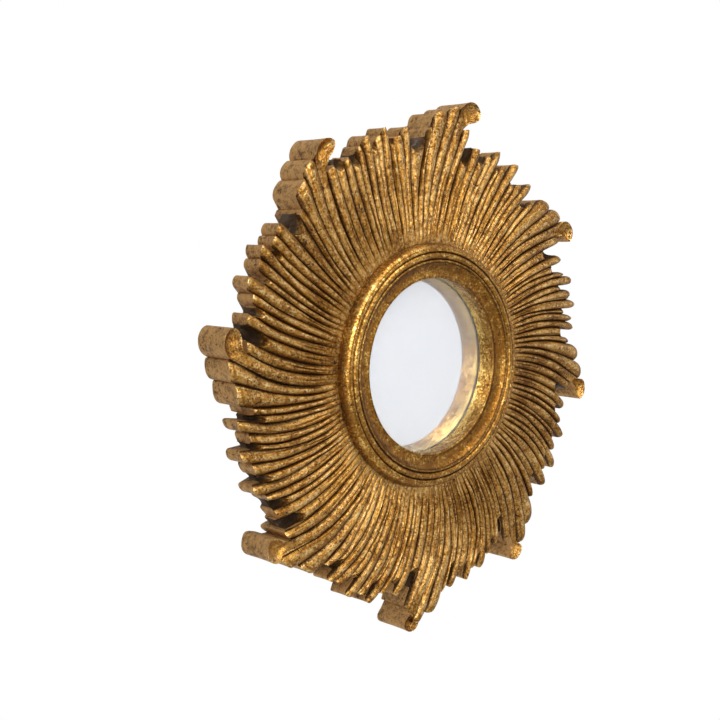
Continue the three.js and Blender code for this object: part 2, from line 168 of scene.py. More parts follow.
azimuth = math.radians(CAMERA_AZIMUTH)
elevation = math.radians(CAMERA_ELEVATION)
backwards = Vector((
    math.sin(azimuth) * math.cos(elevation),
    -math.cos(azimuth) * math.cos(elevation),
    math.sin(elevation),
))
camera_data = bpy.data.cameras.new("camera")
camera_data.lens = LENS
camera_data.sensor_width = 36
camera = bpy.data.objects.new("camera", camera_data)
camera.location = CAMERA_PLACE
camera.rotation_euler = (-backwards).to_track_quat("-Z", "Y").to_euler()
bpy.context.scene.collection.objects.link(camera)
bpy.context.scene.camera = camera

# %% [markdown]
# ## Node helpers
# Materials are node trees. A value that comes out of a socket is wrapped so that sums and products
# of values add math nodes by themselves, and a finish reads like a formula. The sign | keeps the
# larger of two masks, which is how two kinds of dirt or wear lie over each other.

# %% Node helpers


def add_node(tree, kind, **settings):
    node = tree.nodes.new(kind)
    for name, value in settings.items():
        setattr(node, name, value)
    return node


class Value:
    """What a socket gives out. Arithmetic on it adds math nodes to its tree."""

    def __init__(self, socket):
        self.socket = socket

    def __add__(self, other):
        return calculate("ADD", self, other)

    def __sub__(self, other):
        return calculate("SUBTRACT", self, other)

    def __rsub__(self, other):
        return calculate("SUBTRACT", other, self)

    def __mul__(self, other):
        return calculate("MULTIPLY", self, other)

    def __or__(self, other):
        return calculate("MAXIMUM", self, other)

    def clamped(self):
        """Keeps the result of the last math node between 0 and 1."""
        self.socket.node.use_clamp = True
        return self


def tree_of(*values):
    return next(value.socket.id_data for value in values if isinstance(value, Value))


def plug(socket, value):
    """Links a value to a socket, or writes a plain number or colour into it."""
    if isinstance(value, Value):
        socket.id_data.links.new(value.socket, socket)
    else:
        socket.default_value = value


def connect(sockets, values):
    for label, value in values.items():
        plug(sockets[label], value)


def calculate(operation, *values):
    node = add_node(tree_of(*values), "ShaderNodeMath", operation=operation)
    for socket, value in zip(node.inputs, values):
        plug(socket, value)
    return Value(node.outputs[0])


def mix_colors(factor, first, second, blend="MIX"):
    node = add_node(tree_of(factor, first, second), "ShaderNodeMix", data_type="RGBA", blend_type=blend)
    connect(node.inputs, {0: factor, 6: first, 7: second})
    return Value(node.outputs[2])


def rescale(value, low, high, new_low=0.0, new_high=1.0):
    node = add_node(tree_of(value), "ShaderNodeMapRange")
    connect(node.inputs, dict(enumerate((value, low, high, new_low, new_high))))
    return Value(node.outputs[0])


def noise(coordinates, scale, detail, roughness):
    node = add_node(tree_of(coordinates), "ShaderNodeTexNoise")
    connect(node.inputs, {"Vector": coordinates, "Scale": scale, "Detail": detail,
                          "Roughness": roughness})
    return Value(node.outputs["Fac"])


def stretched(coordinates, scale):
    node = add_node(tree_of(coordinates), "ShaderNodeMapping")
    connect(node.inputs, {"Vector": coordinates, "Scale": scale})
    return Value(node.outputs["Vector"])


def bump(height, depth, distance):
    node = add_node(tree_of(height), "ShaderNodeBump")
    connect(node.inputs, {"Height": height, "Strength": depth, "Distance": distance})
    return Value(node.outputs["Normal"])


def masks(tree, *names):
    """The mesh attributes of these names, which the modelling below writes."""
    nodes = [add_node(tree, "ShaderNodeAttribute", attribute_name=name) for name in names]
    return [Value(node.outputs["Fac"]) for node in nodes]


def object_coordinates(tree):
    return Value(add_node(tree, "ShaderNodeTexCoord").outputs["Object"])


def new_group(name, inputs, outputs):
    """An empty node group, the values that come into it and the sockets that lead out of it."""
    tree = bpy.data.node_groups.new(name, "ShaderNodeTree")
    for labels, direction in ((inputs, "INPUT"), (outputs, "OUTPUT")):
        for label, kind in labels.items():
            tree.interface.new_socket(label, in_out=direction, socket_type=f"NodeSocket{kind}")
    entering = {socket.name: Value(socket) for socket in add_node(tree, "NodeGroupInput").outputs}
    return tree, entering, add_node(tree, "NodeGroupOutput").inputs


def use_group(tree, group, values):
    node = add_node(tree, "ShaderNodeGroup", node_tree=group)
    connect(node.inputs, values)
    return {socket.name: Value(socket) for socket in node.outputs}


def new_material(name):
    material = bpy.data.materials.new(name)
    material.use_nodes = True
    tree = material.node_tree
    return material, tree, tree.nodes["Principled BSDF"].inputs


# %% [markdown]
# ## Aged gold leaf
# Real water gilding is leaf over red-brown clay and gesso. A toning wash and painted shade darken
# its hollows, its crests carry leaf rubbed bright and painted highlights, and fine flecks of the wash
# sit everywhere. One group makes that leaf from four masks: where the wash and the painted shade lie,
# where the leaf is rubbed bright and painted with highlights, where it is left dull, and how far it is
# toned down as a whole, with a painted highlight lightening the ring's throat. The carving and the ring
# place it with their own masks. Noise of six sizes gives the clouds, patches, grain and flecks.

# %% Aged gold leaf group
# leaf rubbed bright, and the colour of the painted highlights
RUBBED_AND_HIGHLIGHT_GOLD = (0.85, 0.62, 0.28, 1)
LEAF_GOLD = (0.45, 0.228, 0.045, 1)
BRONZED_GOLD = (0.20, 0.073, 0.007, 1)
DULL_GOLD = (0.58, 0.33, 0.12, 1)
# the toning wash, and the colour of the painted shade in the hollows
TONING_WASH_AND_SHADE = (0.05, 0.018, 0.003, 1)
FLECK = (0.020, 0.016, 0.015, 1)

aged_leaf, leaf_in, leaf_out = new_group(
    "aged_leaf",
    {"Wash_and_shade": "Float", "Rubbed_and_highlight": "Float", "Dull": "Float", "Toned_and_highlight": "Float"},
    {"Color": "Color", "Roughness": "Float", "Metallic": "Float", "Height": "Float"},
)
place = object_coordinates(aged_leaf)
clouds = noise(place, 26, 5, 0.6)
patches = noise(place, 150, 5, 0.65)
mottle = noise(place, 420, 3, 0.6)
grain = noise(place, 900, 3, 0.65)
specks = noise(place, 330, 1, 0.5)
dots = noise(place, 760, 1, 0.5)

# The tone input also lightens the ring's throat, where it is a painted highlight.
bronzing = clouds * 0.25 + patches * 0.27 + mottle * 0.38 + grain * 0.1 + leaf_in["Toned_and_highlight"]
leaf = mix_colors(rescale(bronzing, 0.455, 0.575), LEAF_GOLD, BRONZED_GOLD)
# The rubbed mask brings leaf rubbed bright and painted highlights on crests, edges and the ring's inner
# wall.
rubbed_and_highlight = (leaf_in["Rubbed_and_highlight"] * rescale(bronzing, 0.53, 0.44, 0.1, 1.0)).clamped()
leaf = mix_colors(rubbed_and_highlight, leaf, RUBBED_AND_HIGHLIGHT_GOLD)
dull = leaf_in["Dull"] * rescale(bronzing, 0.46, 0.60, 1.0, 0.5)
leaf = mix_colors(dull, leaf, DULL_GOLD)
flecks = rescale(specks, 0.648, 0.672, 0.0, 0.95) | rescale(dots, 0.63, 0.68, 0.0, 0.85)
flecks = flecks * rescale(clouds, 0.38, 0.58, 0.25, 1.0)
worn_spots = rescale(mottle * 0.5 + patches * 0.5, 0.56, 0.66, 0.0, 0.6)
# The wash mask lays the toning wash and painted shade.
wash_and_shade = (worn_spots | leaf_in["Wash_and_shade"] * rescale(mottle, 0.35, 0.6, 0.65, 1.15)).clamped()
color = mix_colors(flecks, mix_colors(wash_and_shade, leaf, TONING_WASH_AND_SHADE), FLECK)
wash_and_shade = wash_and_shade | flecks
burnish = rescale(patches, 0.3, 0.7, 0.27, 0.42)
connect(leaf_out, {
    "Color": color,
    "Roughness": burnish + leaf_in["Dull"] * 0.16 + wash_and_shade * 0.2 - rubbed_and_highlight * 0.06,
    "Metallic": (1 - leaf_in["Dull"] * 0.4 - wash_and_shade * 0.25).clamped(),
    "Height": mottle * 0.6 + patches * 0.9 + grain * 0.2 - flecks * 0.4,
})
print("leaf group:", len(aged_leaf.nodes), "nodes")

# %% [markdown]
# ## Finish of the carving
# The carving hands the leaf its own masks. Each vertex knows how deep it lies in a groove, in a
# recess between two tips or on an edge, and each upright wall knows how far down it is. The grooves
# get a toning wash and painted shade, the crests and edges rubbed leaf and painted highlights, and the
# walls patches that grow darker further down. Strokes of the burnisher run along the rays, and the
# scraper's chatter runs across them. The recesses were painted dark brown instead of gilded.

# %% Carved gilding
RECESS_WASH = (0.066, 0.040, 0.021, 1)
ALONG_RAYS = (1.0, 0.12, 1.0)
ACROSS_RAYS = (0.15, 1.0, 1.0)

gilding, tree, shader = new_material("gilding")
groove, recess, edge, wall, down = masks(tree, "groove", "recess", "edge", "wall", "down")
tooling = Value(add_node(tree, "ShaderNodeUVMap", uv_map="along_rays").outputs["UV"])
strokes = noise(stretched(tooling, ALONG_RAYS), 700, 4, 0.6)
chatter = noise(stretched(tooling, ACROSS_RAYS), 520, 3, 0.6)

off_wall = 1 - wall
dirt = rescale(noise(object_coordinates(tree), 130, 5, 0.65), 0.47, 0.66)
# Patches on the walls grow darker further down towards the back.
wall_patches_darker_down = rescale(down, 0.0, 1.0, 0.45, 1.0) * dirt * wall
# Grooves darkened by the wash and by painted shade.
hollow = rescale(groove + strokes * 0.35, 0.42, 0.95) * off_wall
streaks = rescale(strokes, 0.57, 0.70, 0.0, 0.6) * off_wall
# Crests and edges get rubbed leaf and painted highlights.
crest = (1 - groove * 4.0).clamped()
crest_rub_and_highlight = crest * rescale(strokes, 0.40, 0.60) * off_wall
leaf = use_group(tree, aged_leaf, {
    "Wash_and_shade": hollow | streaks | wall_patches_darker_down,
    "Rubbed_and_highlight": crest_rub_and_highlight | edge * rescale(strokes, 0.38, 0.58, 0.4, 1.2),
    "Dull": wall,
    "Toned_and_highlight": 0.0,
})
in_recess = rescale(recess, 0.3, 0.6)
connect(shader, {
    "Base Color": mix_colors(in_recess, leaf["Color"], RECESS_WASH),
    "Roughness": leaf["Roughness"],
    "Metallic": leaf["Metallic"] * (1 - in_recess * 0.55),
    "Normal": bump(leaf["Height"] + strokes * 0.45 + chatter * 0.35, 0.75, 0.0012),
})
print("gilding:", len(tree.nodes), "nodes")

# %% [markdown]
# ## Bare wood
# The underside of the carving was planed and left as bare softwood, now brown with age. The packing
# ring behind the glass is paler, since it never saw light. Both are streaks of one noise, drawn out
# along the grain.

# %% Bare wood
OLD_WOOD = (0.30, 0.165, 0.075, 1), (0.145, 0.075, 0.033, 1)
SOFTWOOD = (0.52, 0.36, 0.19, 1), (0.36, 0.22, 0.10, 1)


def wood(name, colors, along_grain, fibre, spread, roughness, relief):
    """Streaks of one noise between two colours. A small along_grain draws them out along z."""
    material, tree, shader = new_material(name)
    fibres = noise(stretched(object_coordinates(tree), (1.0, 1.0, along_grain)), *fibre)
    connect(shader, {
        "Base Color": mix_colors(rescale(fibres, 0.35, spread), *colors),
        "Roughness": rescale(fibres, 0.3, 0.7, *roughness),
        "Normal": bump(fibres, *relief),
    })
    return material


old_wood = wood("old_wood", OLD_WOOD, 0.08, (260, 6, 0.65), 0.68, (0.7, 0.9), (0.5, 0.0006))
softwood = wood("softwood", SOFTWOOD, 0.1, (420, 5, 0.6), 0.65, (0.65, 0.85), (0.4, 0.0005))
print("woods:", old_wood.name, softwood.name)

# %% [markdown]
# ## Plan of the carving
# Eight scrolls stand round the frame. Between each scroll and the next lie seventeen rays, always in
# the same order: the ray under the curl, the ray that becomes the curl, three flanking lobes, then
# rays in pairs with a recess after each pair. Each ray sweeps from its place at the ring to its place
# at the tips, and every scroll has its own sweep. Of a scroll, `past` says how far it stands out
# from the tips' circle, `lateness` how late its rays bend and `lean` how far they bow. `gap` is the
# width of the recess beside its lobes, `closed` (if any) how far its last recess is closed off, and
# `curl` how far it hooks past its own angle, how wide it is, and how far its end droops.

# %% Plan of the carving
SCROLLS = [
    {"angle": 32, "past": 45, "lateness": 1.4, "lean": 0.0, "gap": 3.2, "curl": (16, 21, 14)},
    {"angle": 77.5, "past": 51, "lateness": 1.3, "lean": 0.0, "gap": 7.2, "curl": (17, 25, 15),
     "closed": 20.0},
    {"angle": 123.4, "past": 36, "lateness": 1.4, "lean": 0.0, "gap": 5.2, "curl": (15, 19, 12)},
    {"angle": 171, "past": 32, "lateness": 1.6, "lean": 0.4, "gap": 1.0, "curl": (15, 22, 13)},
    {"angle": 218, "past": 38, "lateness": 2.0, "lean": 1.6, "gap": 2.6, "curl": (15, 27, 15)},
    {"angle": 265.4, "past": 55, "lateness": 2.0, "lean": 2.4, "gap": 2.0, "curl": (17, 23, 15)},
    {"angle": 302.5, "past": 45, "lateness": 1.8, "lean": 1.4, "gap": 3.4, "curl": (15, 21, 14)},
    {"angle": 350, "past": 40, "lateness": 1.5, "lean": 0.4, "gap": 2.8, "curl": (16, 20, 12)},
]
# kind, share of the width at the ring, share at the tips, reach past the tips' circle
# (rays of the scroll itself: how far they stay short of the curl). The recess beside the flanking
# lobes has no share of its own at the tips: each scroll gives it its own gap.
RAYS = [
    ("under", 3.5, 2.8, 33), ("hook", 3.7, 3.2, 25),
    ("flank", 2.4, 4.0, 12), ("flank", 2.4, 4.6, 22), ("flank", 2.3, 1.6, 42),
    ("pocket", 2.2, 0.0, -5), ("ray", 3.0, 2.9, 11), ("ray", 2.2, 2.9, 3),
    ("pocket", 2.1, 1.6, -4), ("ray", 3.0, 2.8, 16), ("ray", 2.2, 2.8, 7),
    ("pocket", 2.0, 1.8, -4), ("ray", 3.0, 3.0, 15), ("ray", 2.3, 2.2, 3),
    ("pocket", 2.2, 2.6, -4), ("ray", 3.5, 2.8, 3), ("pocket", 3.7, 3.2, 1),
]
GAP = 5
HOOK = 1
START_AT_RING = 5.0
START_AT_TIP = -1.0
TIP_RADIUS = 270.0
POCKET_RADIUS = TIP_RADIUS - 26
STRAIGHT_FROM = POCKET_RADIUS + 5
UNEVENNESS = 3.0
TIP_SLANT = 2.5
NOTCH_DEPTH = 9.0
LOBE_NOTCH = 3.5
HOOK_CREASE = 17.0
HEEL_RISE = 17.0
LOBE_ROUNDING = 0.42
TIP_FULLNESS = 2.3

# %% [markdown]
# ## Heights of the carving
# All heights are above the back plane. The crests lie just above the seat of the ring, the grooves
# a few millimetres below them, and the recesses between the tips go halfway down.

# %% Heights of the carving
SEAT_HEIGHT = 46.5
CREST_RISE = 1.0
GROOVE_DEPTH = 6.4
SPLIT_DEPTH = 2.0
SCORE_DEPTH = 0.9
RECESS_HEIGHT = 22.0
DISH_DEPTH = 8.5
SPOON_DEPTH = 4.5
SEAT_RADIUS = FOOT_RADIUS + 1.5
RABBET_RADIUS = BOARD_RADIUS + 0.3
RABBET_HEIGHT = BOARD_THICKNESS + 0.3
BORE_RADIUS = BOARD_RADIUS - 13.5
CREST_HEIGHT = SEAT_HEIGHT + CREST_RISE


def smooth(low, high, value):
    share = np.clip((value - low) / (high - low), 0, 1)
    return share * share * (3 - 2 * share)


# %% [markdown]
# ## Columns of a segment
# The skin of a segment is one grid. Its columns run out along the rays, closer together towards the
# grooves, and its rows run across. The ray of the curl gets extra rows that go on round the curl.
# This cell works out, for every column, which ray it is on, how far across that ray it lies, and
# where it ends on the outline.

# %% Columns of a segment
RAY_COLUMNS = 18
HOOK_COLUMNS = 30
ROWS = 100
CURL_ROWS = 48

ray_index, across = [], []
for index in range(len(RAYS)):
    count = HOOK_COLUMNS if index == HOOK else RAY_COLUMNS
    ray_index += [index] * count
    across += [(1 - math.cos(math.pi * step / count)) / 2 for step in range(count)]
ray_index = np.array(ray_index + [len(RAYS) - 1])
across = np.array(across + [1.0])
COLUMNS = len(across) - 1
curl_columns = np.nonzero(ray_index == HOOK)[0]
FIRST_CURL_COLUMN = int(curl_columns[0])
LAST_CURL_COLUMN = int(curl_columns[-1]) + 1
across_curl = np.append(across[curl_columns], 1.0)

kinds = [ray[0] for ray in RAYS]
at_ring = np.array([ray[1] for ray in RAYS])
ring_before = np.concatenate([[0], np.cumsum(at_ring)])
ring_share = (ring_before[ray_index] + at_ring[ray_index] * across) / ring_before[-1]
is_pocket = np.array([kinds[index] == "pocket" for index in ray_index])
is_lobe = np.array([kinds[index] in ("under", "hook", "flank") for index in ray_index])


def tip_shares(scroll):
    """Each column's place among the tips of its segment, from 0 to 1."""
    at_tip = np.array([ray[2] for ray in RAYS])
    at_tip[GAP] = scroll["gap"]
    before = np.concatenate([[0], np.cumsum(at_tip)])
    return (before[ray_index] + at_tip[ray_index] * across) / before[-1]


def reaches(scroll):
    """The radius that each of the seventeen rays reaches."""
    found = []
    for index, (kind, _, _, extra) in enumerate(RAYS):
        if kind in ("under", "hook", "flank"):
            found.append(TIP_RADIUS + scroll["past"] - extra)
        else:
            found.append(TIP_RADIUS + extra + UNEVENNESS * math.sin(scroll["angle"] + 2.3 * index))
    return found


def notches(scroll, reach):
    """The radius at which each ray parts from the one before it, and the last from the next scroll's."""
    found = []
    for index in range(len(RAYS) + 1):
        pair = (index % len(RAYS), (index - 1) % len(RAYS))
        around = [kinds[number] for number in pair]
        lower = min(reach[number] for number in pair)
        if index in (0, len(RAYS)):
            lower = reach[-1] if index else reach[0]
            found.append(min(lower, TIP_RADIUS - 2))
        elif index == HOOK + 1:
            found.append(TIP_RADIUS + scroll["past"] - HOOK_CREASE)
        elif "pocket" in around:
            found.append(lower)
        else:
            found.append(lower - (NOTCH_DEPTH if "ray" in around else LOBE_NOTCH))
    return found


def outline_radius(scroll):
    """Where each column ends: round the tip of its ray, from one notch to the next."""
    reach = reaches(scroll)
    notch = notches(scroll, reach)
    share_width = TIP_RADIUS * math.radians(45) / sum(ray[2] for ray in RAYS)
    ends = np.empty(COLUMNS + 1)
    for column, (index, share) in enumerate(zip(ray_index, across)):
        tip = reach[index] - TIP_SLANT * share
        base = notch[index] if share < 0.5 else notch[index + 1]
        side = abs(2 * share - 1)
        if index == HOOK:
            ends[column] = notch[index] + (notch[index + 1] - notch[index]) * share
        elif kinds[index] == "pocket":
            ends[column] = base + (tip - base) * (1 - side ** 4) - 1.5 * (1 - side ** 2)
        else:
            half_round = RAYS[index][2] * share_width * (LOBE_ROUNDING if is_lobe[column] else 0.55)
            rounding = min(half_round, max(tip - base, 0))
            ends[column] = tip - rounding * (1 - (1 - side ** TIP_FULLNESS) ** (1 / TIP_FULLNESS))
            if side == 1:
                ends[column] = base
    return ends


# %% [markdown]
# ## Sweep of the rays
# A ray's line leaves the ring square to it, sweeps round as it goes out and runs straight at the
# end. A little waviness, the same for neighbouring lines, keeps it from looking ruled. It dies away
# at the joints between the segments so that they still meet.

# %% Sweep of the rays
WAVINESS = 0.34


def sweep(scroll, following, radius, phase):
    """The bench x and y of every column at each of its radii (an array of columns by rows)."""
    span = (following["angle"] - scroll["angle"]) % 360
    between = ring_share[:, None]
    lateness = scroll["lateness"] + (following["lateness"] - scroll["lateness"]) * between
    at_foot = scroll["angle"] + START_AT_RING + span * between
    at_end = scroll["angle"] + START_AT_TIP + span * tip_shares(scroll)[:, None]

    def swept(distance):
        along = np.maximum(distance - FOOT_RADIUS, 0) / (TIP_RADIUS - FOOT_RADIUS)
        bow = np.sin(np.pi * between) * np.sin(np.pi * np.minimum(along, 1))
        wave = np.sin(np.pi * between) * np.sin(19 * between + distance / 31 + phase)
        wave = wave + 0.5 * np.sin(np.pi * between) * np.sin(61 * between + distance / 19 + 2 * phase)
        wave = wave * smooth(FOOT_RADIUS, FOOT_RADIUS + 30, distance) * WAVINESS
        turn = at_foot + (at_end - at_foot) * along ** lateness + scroll["lean"] * bow + wave
        turn = np.radians(turn)
        return distance * np.cos(turn), distance * np.sin(turn)

    inner_x, inner_y = swept(np.minimum(radius, STRAIGHT_FROM))
    outer_x, outer_y = swept(np.full_like(radius, TIP_RADIUS))
    beyond = np.maximum(radius - STRAIGHT_FROM, 0) / (TIP_RADIUS - STRAIGHT_FROM)
    return inner_x + (outer_x - inner_x) * beyond, inner_y + (outer_y - inner_y) * beyond


# %% [markdown]
# ## Section of the rays
# Across, a ray is a rounded reed between two narrow grooves. Broad rays are split by a shallow groove
# that runs out halfway. Grooves fade where they run under the ring. Recesses fall away to half the
# depth with a rounded inner end. The hollow of the curl's spoon starts on its ray. The carver's hand
# shows as small differences from ray to ray: twelve random numbers each, between -1 and 1.

# %% Section of the rays
BROAD_SHARE = 3.0
INNER_ENDS = {5: 3.0, 8: 14.0, 11: 15.0, 14: 8.0, 16: -3.0}

broad = (at_ring >= BROAD_SHARE)[ray_index][:, None]
inner_end_of = np.array([POCKET_RADIUS + INNER_ENDS.get(index, 0.0) for index in ray_index])


def hump(distance, width):
    """A bell curve: one where the distance is zero, fading over the width."""
    return np.exp(-(distance / width) ** 2)


def section(radius, ends, chance, closed):
    """The carved height of each column and row, with the masks for its groove, recess and edge."""
    (skew, swell, flatness, split_end, split_shift, rise, ripple_phase, wave_phase,
     line_side, line_shift, line_length, line_phase) = (
        chance.uniform(-1, 1, (len(RAYS), 12))[ray_index].T[:, :, None])
    share = across[:, None]
    side = np.abs(2 * share ** (1 + 0.22 * skew) - 1)
    fade = smooth(SEAT_RADIUS - 1, SEAT_RADIUS + 34, radius)
    depth = GROOVE_DEPTH * (0.14 + 0.86 * fade)
    depth = depth * (1 + 0.2 * np.sin(radius / 21 + 9 * share + 3 * swell))
    round_side = 1 - np.sqrt(1 - 0.985 * side ** 2)
    groove = (0.6 + 0.15 * flatness) * round_side + (0.4 - 0.15 * flatness) * side ** 2.2
    running_out = 1 - smooth(190 + 12 * split_end, 228 + 12 * split_end, radius)
    split = broad * running_out * hump(share - 0.5 - 0.07 * split_shift, 0.075)
    line_at = np.where(line_side > 0, 0.22, 0.78) + 0.05 * line_shift + 0.02 * np.sin(radius / 17)
    line_runs = smooth(0.05, 0.4, np.sin(radius / (26 + 8 * line_length) + 5 * line_phase))
    scored = line_runs * hump(share - line_at, 0.05)
    crest = SEAT_HEIGHT + (CREST_RISE + 0.9 * rise) * smooth(SEAT_RADIUS, SEAT_RADIUS + 32, radius)
    ripple = 0.2 * np.sin(radius / 4.3 + 6 * ripple_phase) + 0.3 * np.sin(radius / 9.7 + 6 * wave_phase)
    ripple = ripple * fade * (1 - groove)
    to_end = ends[:, None] - radius
    cut_end = (ray_index != HOOK)[:, None]
    nose = (2.2 * smooth(15, 0, to_end) ** 2 + 0.8 * smooth(2.2, 0, to_end)) * cut_end
    spoon = smooth(34, 4, to_end) * ~cut_end * (1 - side ** 2)
    lines = SPLIT_DEPTH * split + SCORE_DEPTH * scored
    height = crest - depth * groove - fade * lines + ripple - nose - SPOON_DEPTH * spoon

    inner_end = inner_end_of[:, None] + 3 * swell + 8 * side ** 2
    inner_end = inner_end + closed * (ray_index == len(RAYS) - 1)[:, None]
    opened = smooth(inner_end, inner_end + 5.5, radius) * is_pocket[:, None]
    recess = opened * (1 - side ** 10)
    floor = RECESS_HEIGHT + 4.0 * side ** 2 + 5.0 * smooth(26, 0, to_end)
    height = height + (floor - height) * recess
    height = np.where(radius < SEAT_RADIUS, SEAT_HEIGHT, height)

    behind_tip = 0.55 * hump(to_end - 5.5, 1.6) * ~is_pocket[:, None] * cut_end
    # The groove mask is part toning wash and part painted shade: it darkens the grooves, the split and
    # scored lines, a band behind each tip and the spoon.
    groove_wash_and_shade = np.maximum.reduce([
        groove * (0.35 + 0.65 * fade),
        np.maximum(0.6 * split, 0.5 * scored) * (0.3 + 0.7 * fade),
        behind_tip,
        0.22 * spoon,
    ])
    # The edge mask is rubbed leaf and painted highlights: a line along each shoulder and a band at each
    # tip.
    shoulder_highlight = 0.7 * hump(side - 0.74 - 0.05 * wave_phase, 0.09) * fade * (ripple_phase > -0.4)
    edge = np.maximum(0.5 * smooth(2.8, 0.6, to_end) * cut_end, shoulder_highlight) * (1 - recess)
    return height, groove_wash_and_shade, recess, edge


def underside(radius, ends):
    """Flat on the bench, rebated for the board, and hollowed under the small tips."""
    hollowing = HEEL_RISE * np.clip((radius - STRAIGHT_FROM) / (ends[:, None] - STRAIGHT_FROM), 0, 1)
    hollowing = np.where(is_lobe[:, None], 0, hollowing)
    return np.where(radius < RABBET_RADIUS - 0.1, RABBET_HEIGHT, hollowing)


# %% [markdown]
# ## The curl
# The ray of the curl goes on past its neighbours, swings clockwise and widens into a club. Its face is
# hollowed like a spoon: the hollow starts on the ray, deepens towards the end and leaves a thin rim,
# lightened by rubbed leaf and a painted highlight. The middle line is one smooth curve from the ray's
# end to the curl's end. The cross-section rides along it, and the last part is rounded off.

# %% The curl
CURL_POINTS = 240
CAP_SHARE = 0.62
CAP_ROUNDNESS = 1.9
HOLLOW_FROM_NECK = 0.34


def unit(vector):
    return vector / np.linalg.norm(vector)


def curve_through(start, start_pull, end_pull, end, steps):
    """Points along one cubic curve, evenly spaced, the direction at each, and its length."""
    t = np.linspace(0, 1, 400)[:, None]
    points = ((1 - t) ** 3 * start + 3 * (1 - t) ** 2 * t * start_pull
              + 3 * (1 - t) * t ** 2 * end_pull + t ** 3 * end)
    lengths = np.concatenate([[0], np.cumsum(np.linalg.norm(np.diff(points, axis=0), axis=1))])
    wanted = np.linspace(0, lengths[-1], steps)
    even = np.stack([np.interp(wanted, lengths, points[:, axis]) for axis in (0, 1)], axis=1)
    heading = np.gradient(even, axis=0)
    heading /= np.linalg.norm(heading, axis=1)[:, None]
    return even, heading, lengths[-1]


def curl(scroll, foot, before, foot_height, foot_wash_and_shade):
    """The free end of the scroll: x, y, height, groove and edge of its columns by its extra rows."""
    hooks, width, droop = scroll["curl"]
    turn = math.radians(scroll["angle"])
    outward = np.array([math.cos(turn), math.sin(turn)])
    clockwise = np.array([math.sin(turn), -math.cos(turn)])
    top = outward * (TIP_RADIUS + scroll["past"] - 0.4)
    middle = len(across_curl) // 2
    start = foot[middle]
    end = top + clockwise * hooks - outward * droop
    pull = unit(start - before[middle]) * np.linalg.norm(end - start) * 0.42
    over_the_top = top - outward * width * 0.5 - clockwise * hooks * 0.35
    line, heading, length = curve_through(start, start + pull, over_the_top, end, CURL_POINTS)
    normal = np.stack([-heading[:, 1], heading[:, 0]], axis=1)
    along_foot = (foot - start) @ heading[0]
    across_foot = (foot - start) @ normal[0]
    foot_width = abs(across_foot[-1] - across_foot[0])

    side = np.abs(2 * across_curl - 1)[:, None]
    cap = width * CAP_SHARE
    ends = length - cap * (1 - (1 - side ** CAP_ROUNDNESS) ** (1 / CAP_ROUNDNESS))
    distance = ends * np.arange(1, CURL_ROWS + 1) / CURL_ROWS
    share = distance / length

    def sampled(values):
        return np.interp(share * (CURL_POINTS - 1), np.arange(CURL_POINTS), values)

    widen = 1 + (width / foot_width - 1) * smooth(0, 0.5, share)
    widen = widen * (1 - 0.14 * smooth(0.6, 1, share))
    keep_slant = 1 - smooth(0, 0.55, share)
    x, y = (sampled(line[:, axis]) + sampled(normal[:, axis]) * across_foot[:, None] * widen
            + sampled(heading[:, axis]) * along_foot[:, None] * keep_slant for axis in (0, 1))

    hollowed = smooth(0, HOLLOW_FROM_NECK, share)
    inside = np.clip((ends - distance) / (cap * 0.9), 0, 1)
    bowl = (1 - side ** CAP_ROUNDNESS) * (1 - (1 - inside) ** 2)
    reed = foot_height[:, None]
    rim = CREST_HEIGHT + 0.35 - 0.5 * smooth(0.9, 1, np.maximum(side, 1 - inside))
    height = reed + (rim - DISH_DEPTH * bowl - reed) * hollowed
    # The dish of the curl is darkened a little by wash and painted shade.
    groove_wash_and_shade = foot_wash_and_shade[:, None] * (1 - hollowed) + 0.22 * bowl * hollowed
    # The rim gets rubbed leaf and a painted highlight.
    rim_rub_and_highlight = np.maximum(smooth(0.80, 0.97, side), smooth(0.22, 0.04, inside))
    return x, y, height, groove_wash_and_shade, rim_rub_and_highlight * smooth(0.05, 0.3, share)


# %% [markdown]
# ## One skin for all segments
# A flat grid is the start. The spare corner beside the curl is deleted, the sheet is extruded into a
# closed slab, and its upright walls are cut into bands. Every vertex keeps its column, row and how far
# down it is. All eight segments share this skin and differ only in where its vertices are moved.

# %% The shared skin
WALL_BANDS = 5

slab = bmesh.new()
bmesh.ops.create_grid(slab, x_segments=COLUMNS, y_segments=ROWS + CURL_ROWS, size=1)
column_layer = slab.verts.layers.float.new("column")
row_layer = slab.verts.layers.float.new("row")
down_layer = slab.verts.layers.float.new("down")
for vertex in slab.verts:
    vertex[column_layer] = round((vertex.co.x + 1) / 2 * COLUMNS)
    vertex[row_layer] = round((vertex.co.y + 1) / 2 * (ROWS + CURL_ROWS))
spare = []
for face in slab.faces:
    column = min(vertex[column_layer] for vertex in face.verts)
    row = min(vertex[row_layer] for vertex in face.verts)
    if row >= ROWS and not FIRST_CURL_COLUMN <= column < LAST_CURL_COLUMN:
        spare.append(face)
bmesh.ops.delete(slab, geom=spare, context="FACES")
lowered = bmesh.ops.extrude_face_region(slab, geom=slab.faces[:])["geom"]
for vertex in only(lowered, bmesh.types.BMVert):
    vertex[down_layer] = 1
    vertex.co.z = -1
upright = [edge for edge in slab.edges if edge.verts[0][down_layer] != edge.verts[1][down_layer]]
bmesh.ops.subdivide_edges(slab, edges=upright, cuts=WALL_BANDS - 1)
bmesh.ops.recalc_face_normals(slab, faces=slab.faces)
skin = bpy.data.meshes.new("segment_skin")
slab.to_mesh(skin)
slab.free()

def skin_values(name):
    values = np.empty(len(skin.vertices), dtype=np.float32)
    skin.attributes[name].data.foreach_get("value", values)
    return values


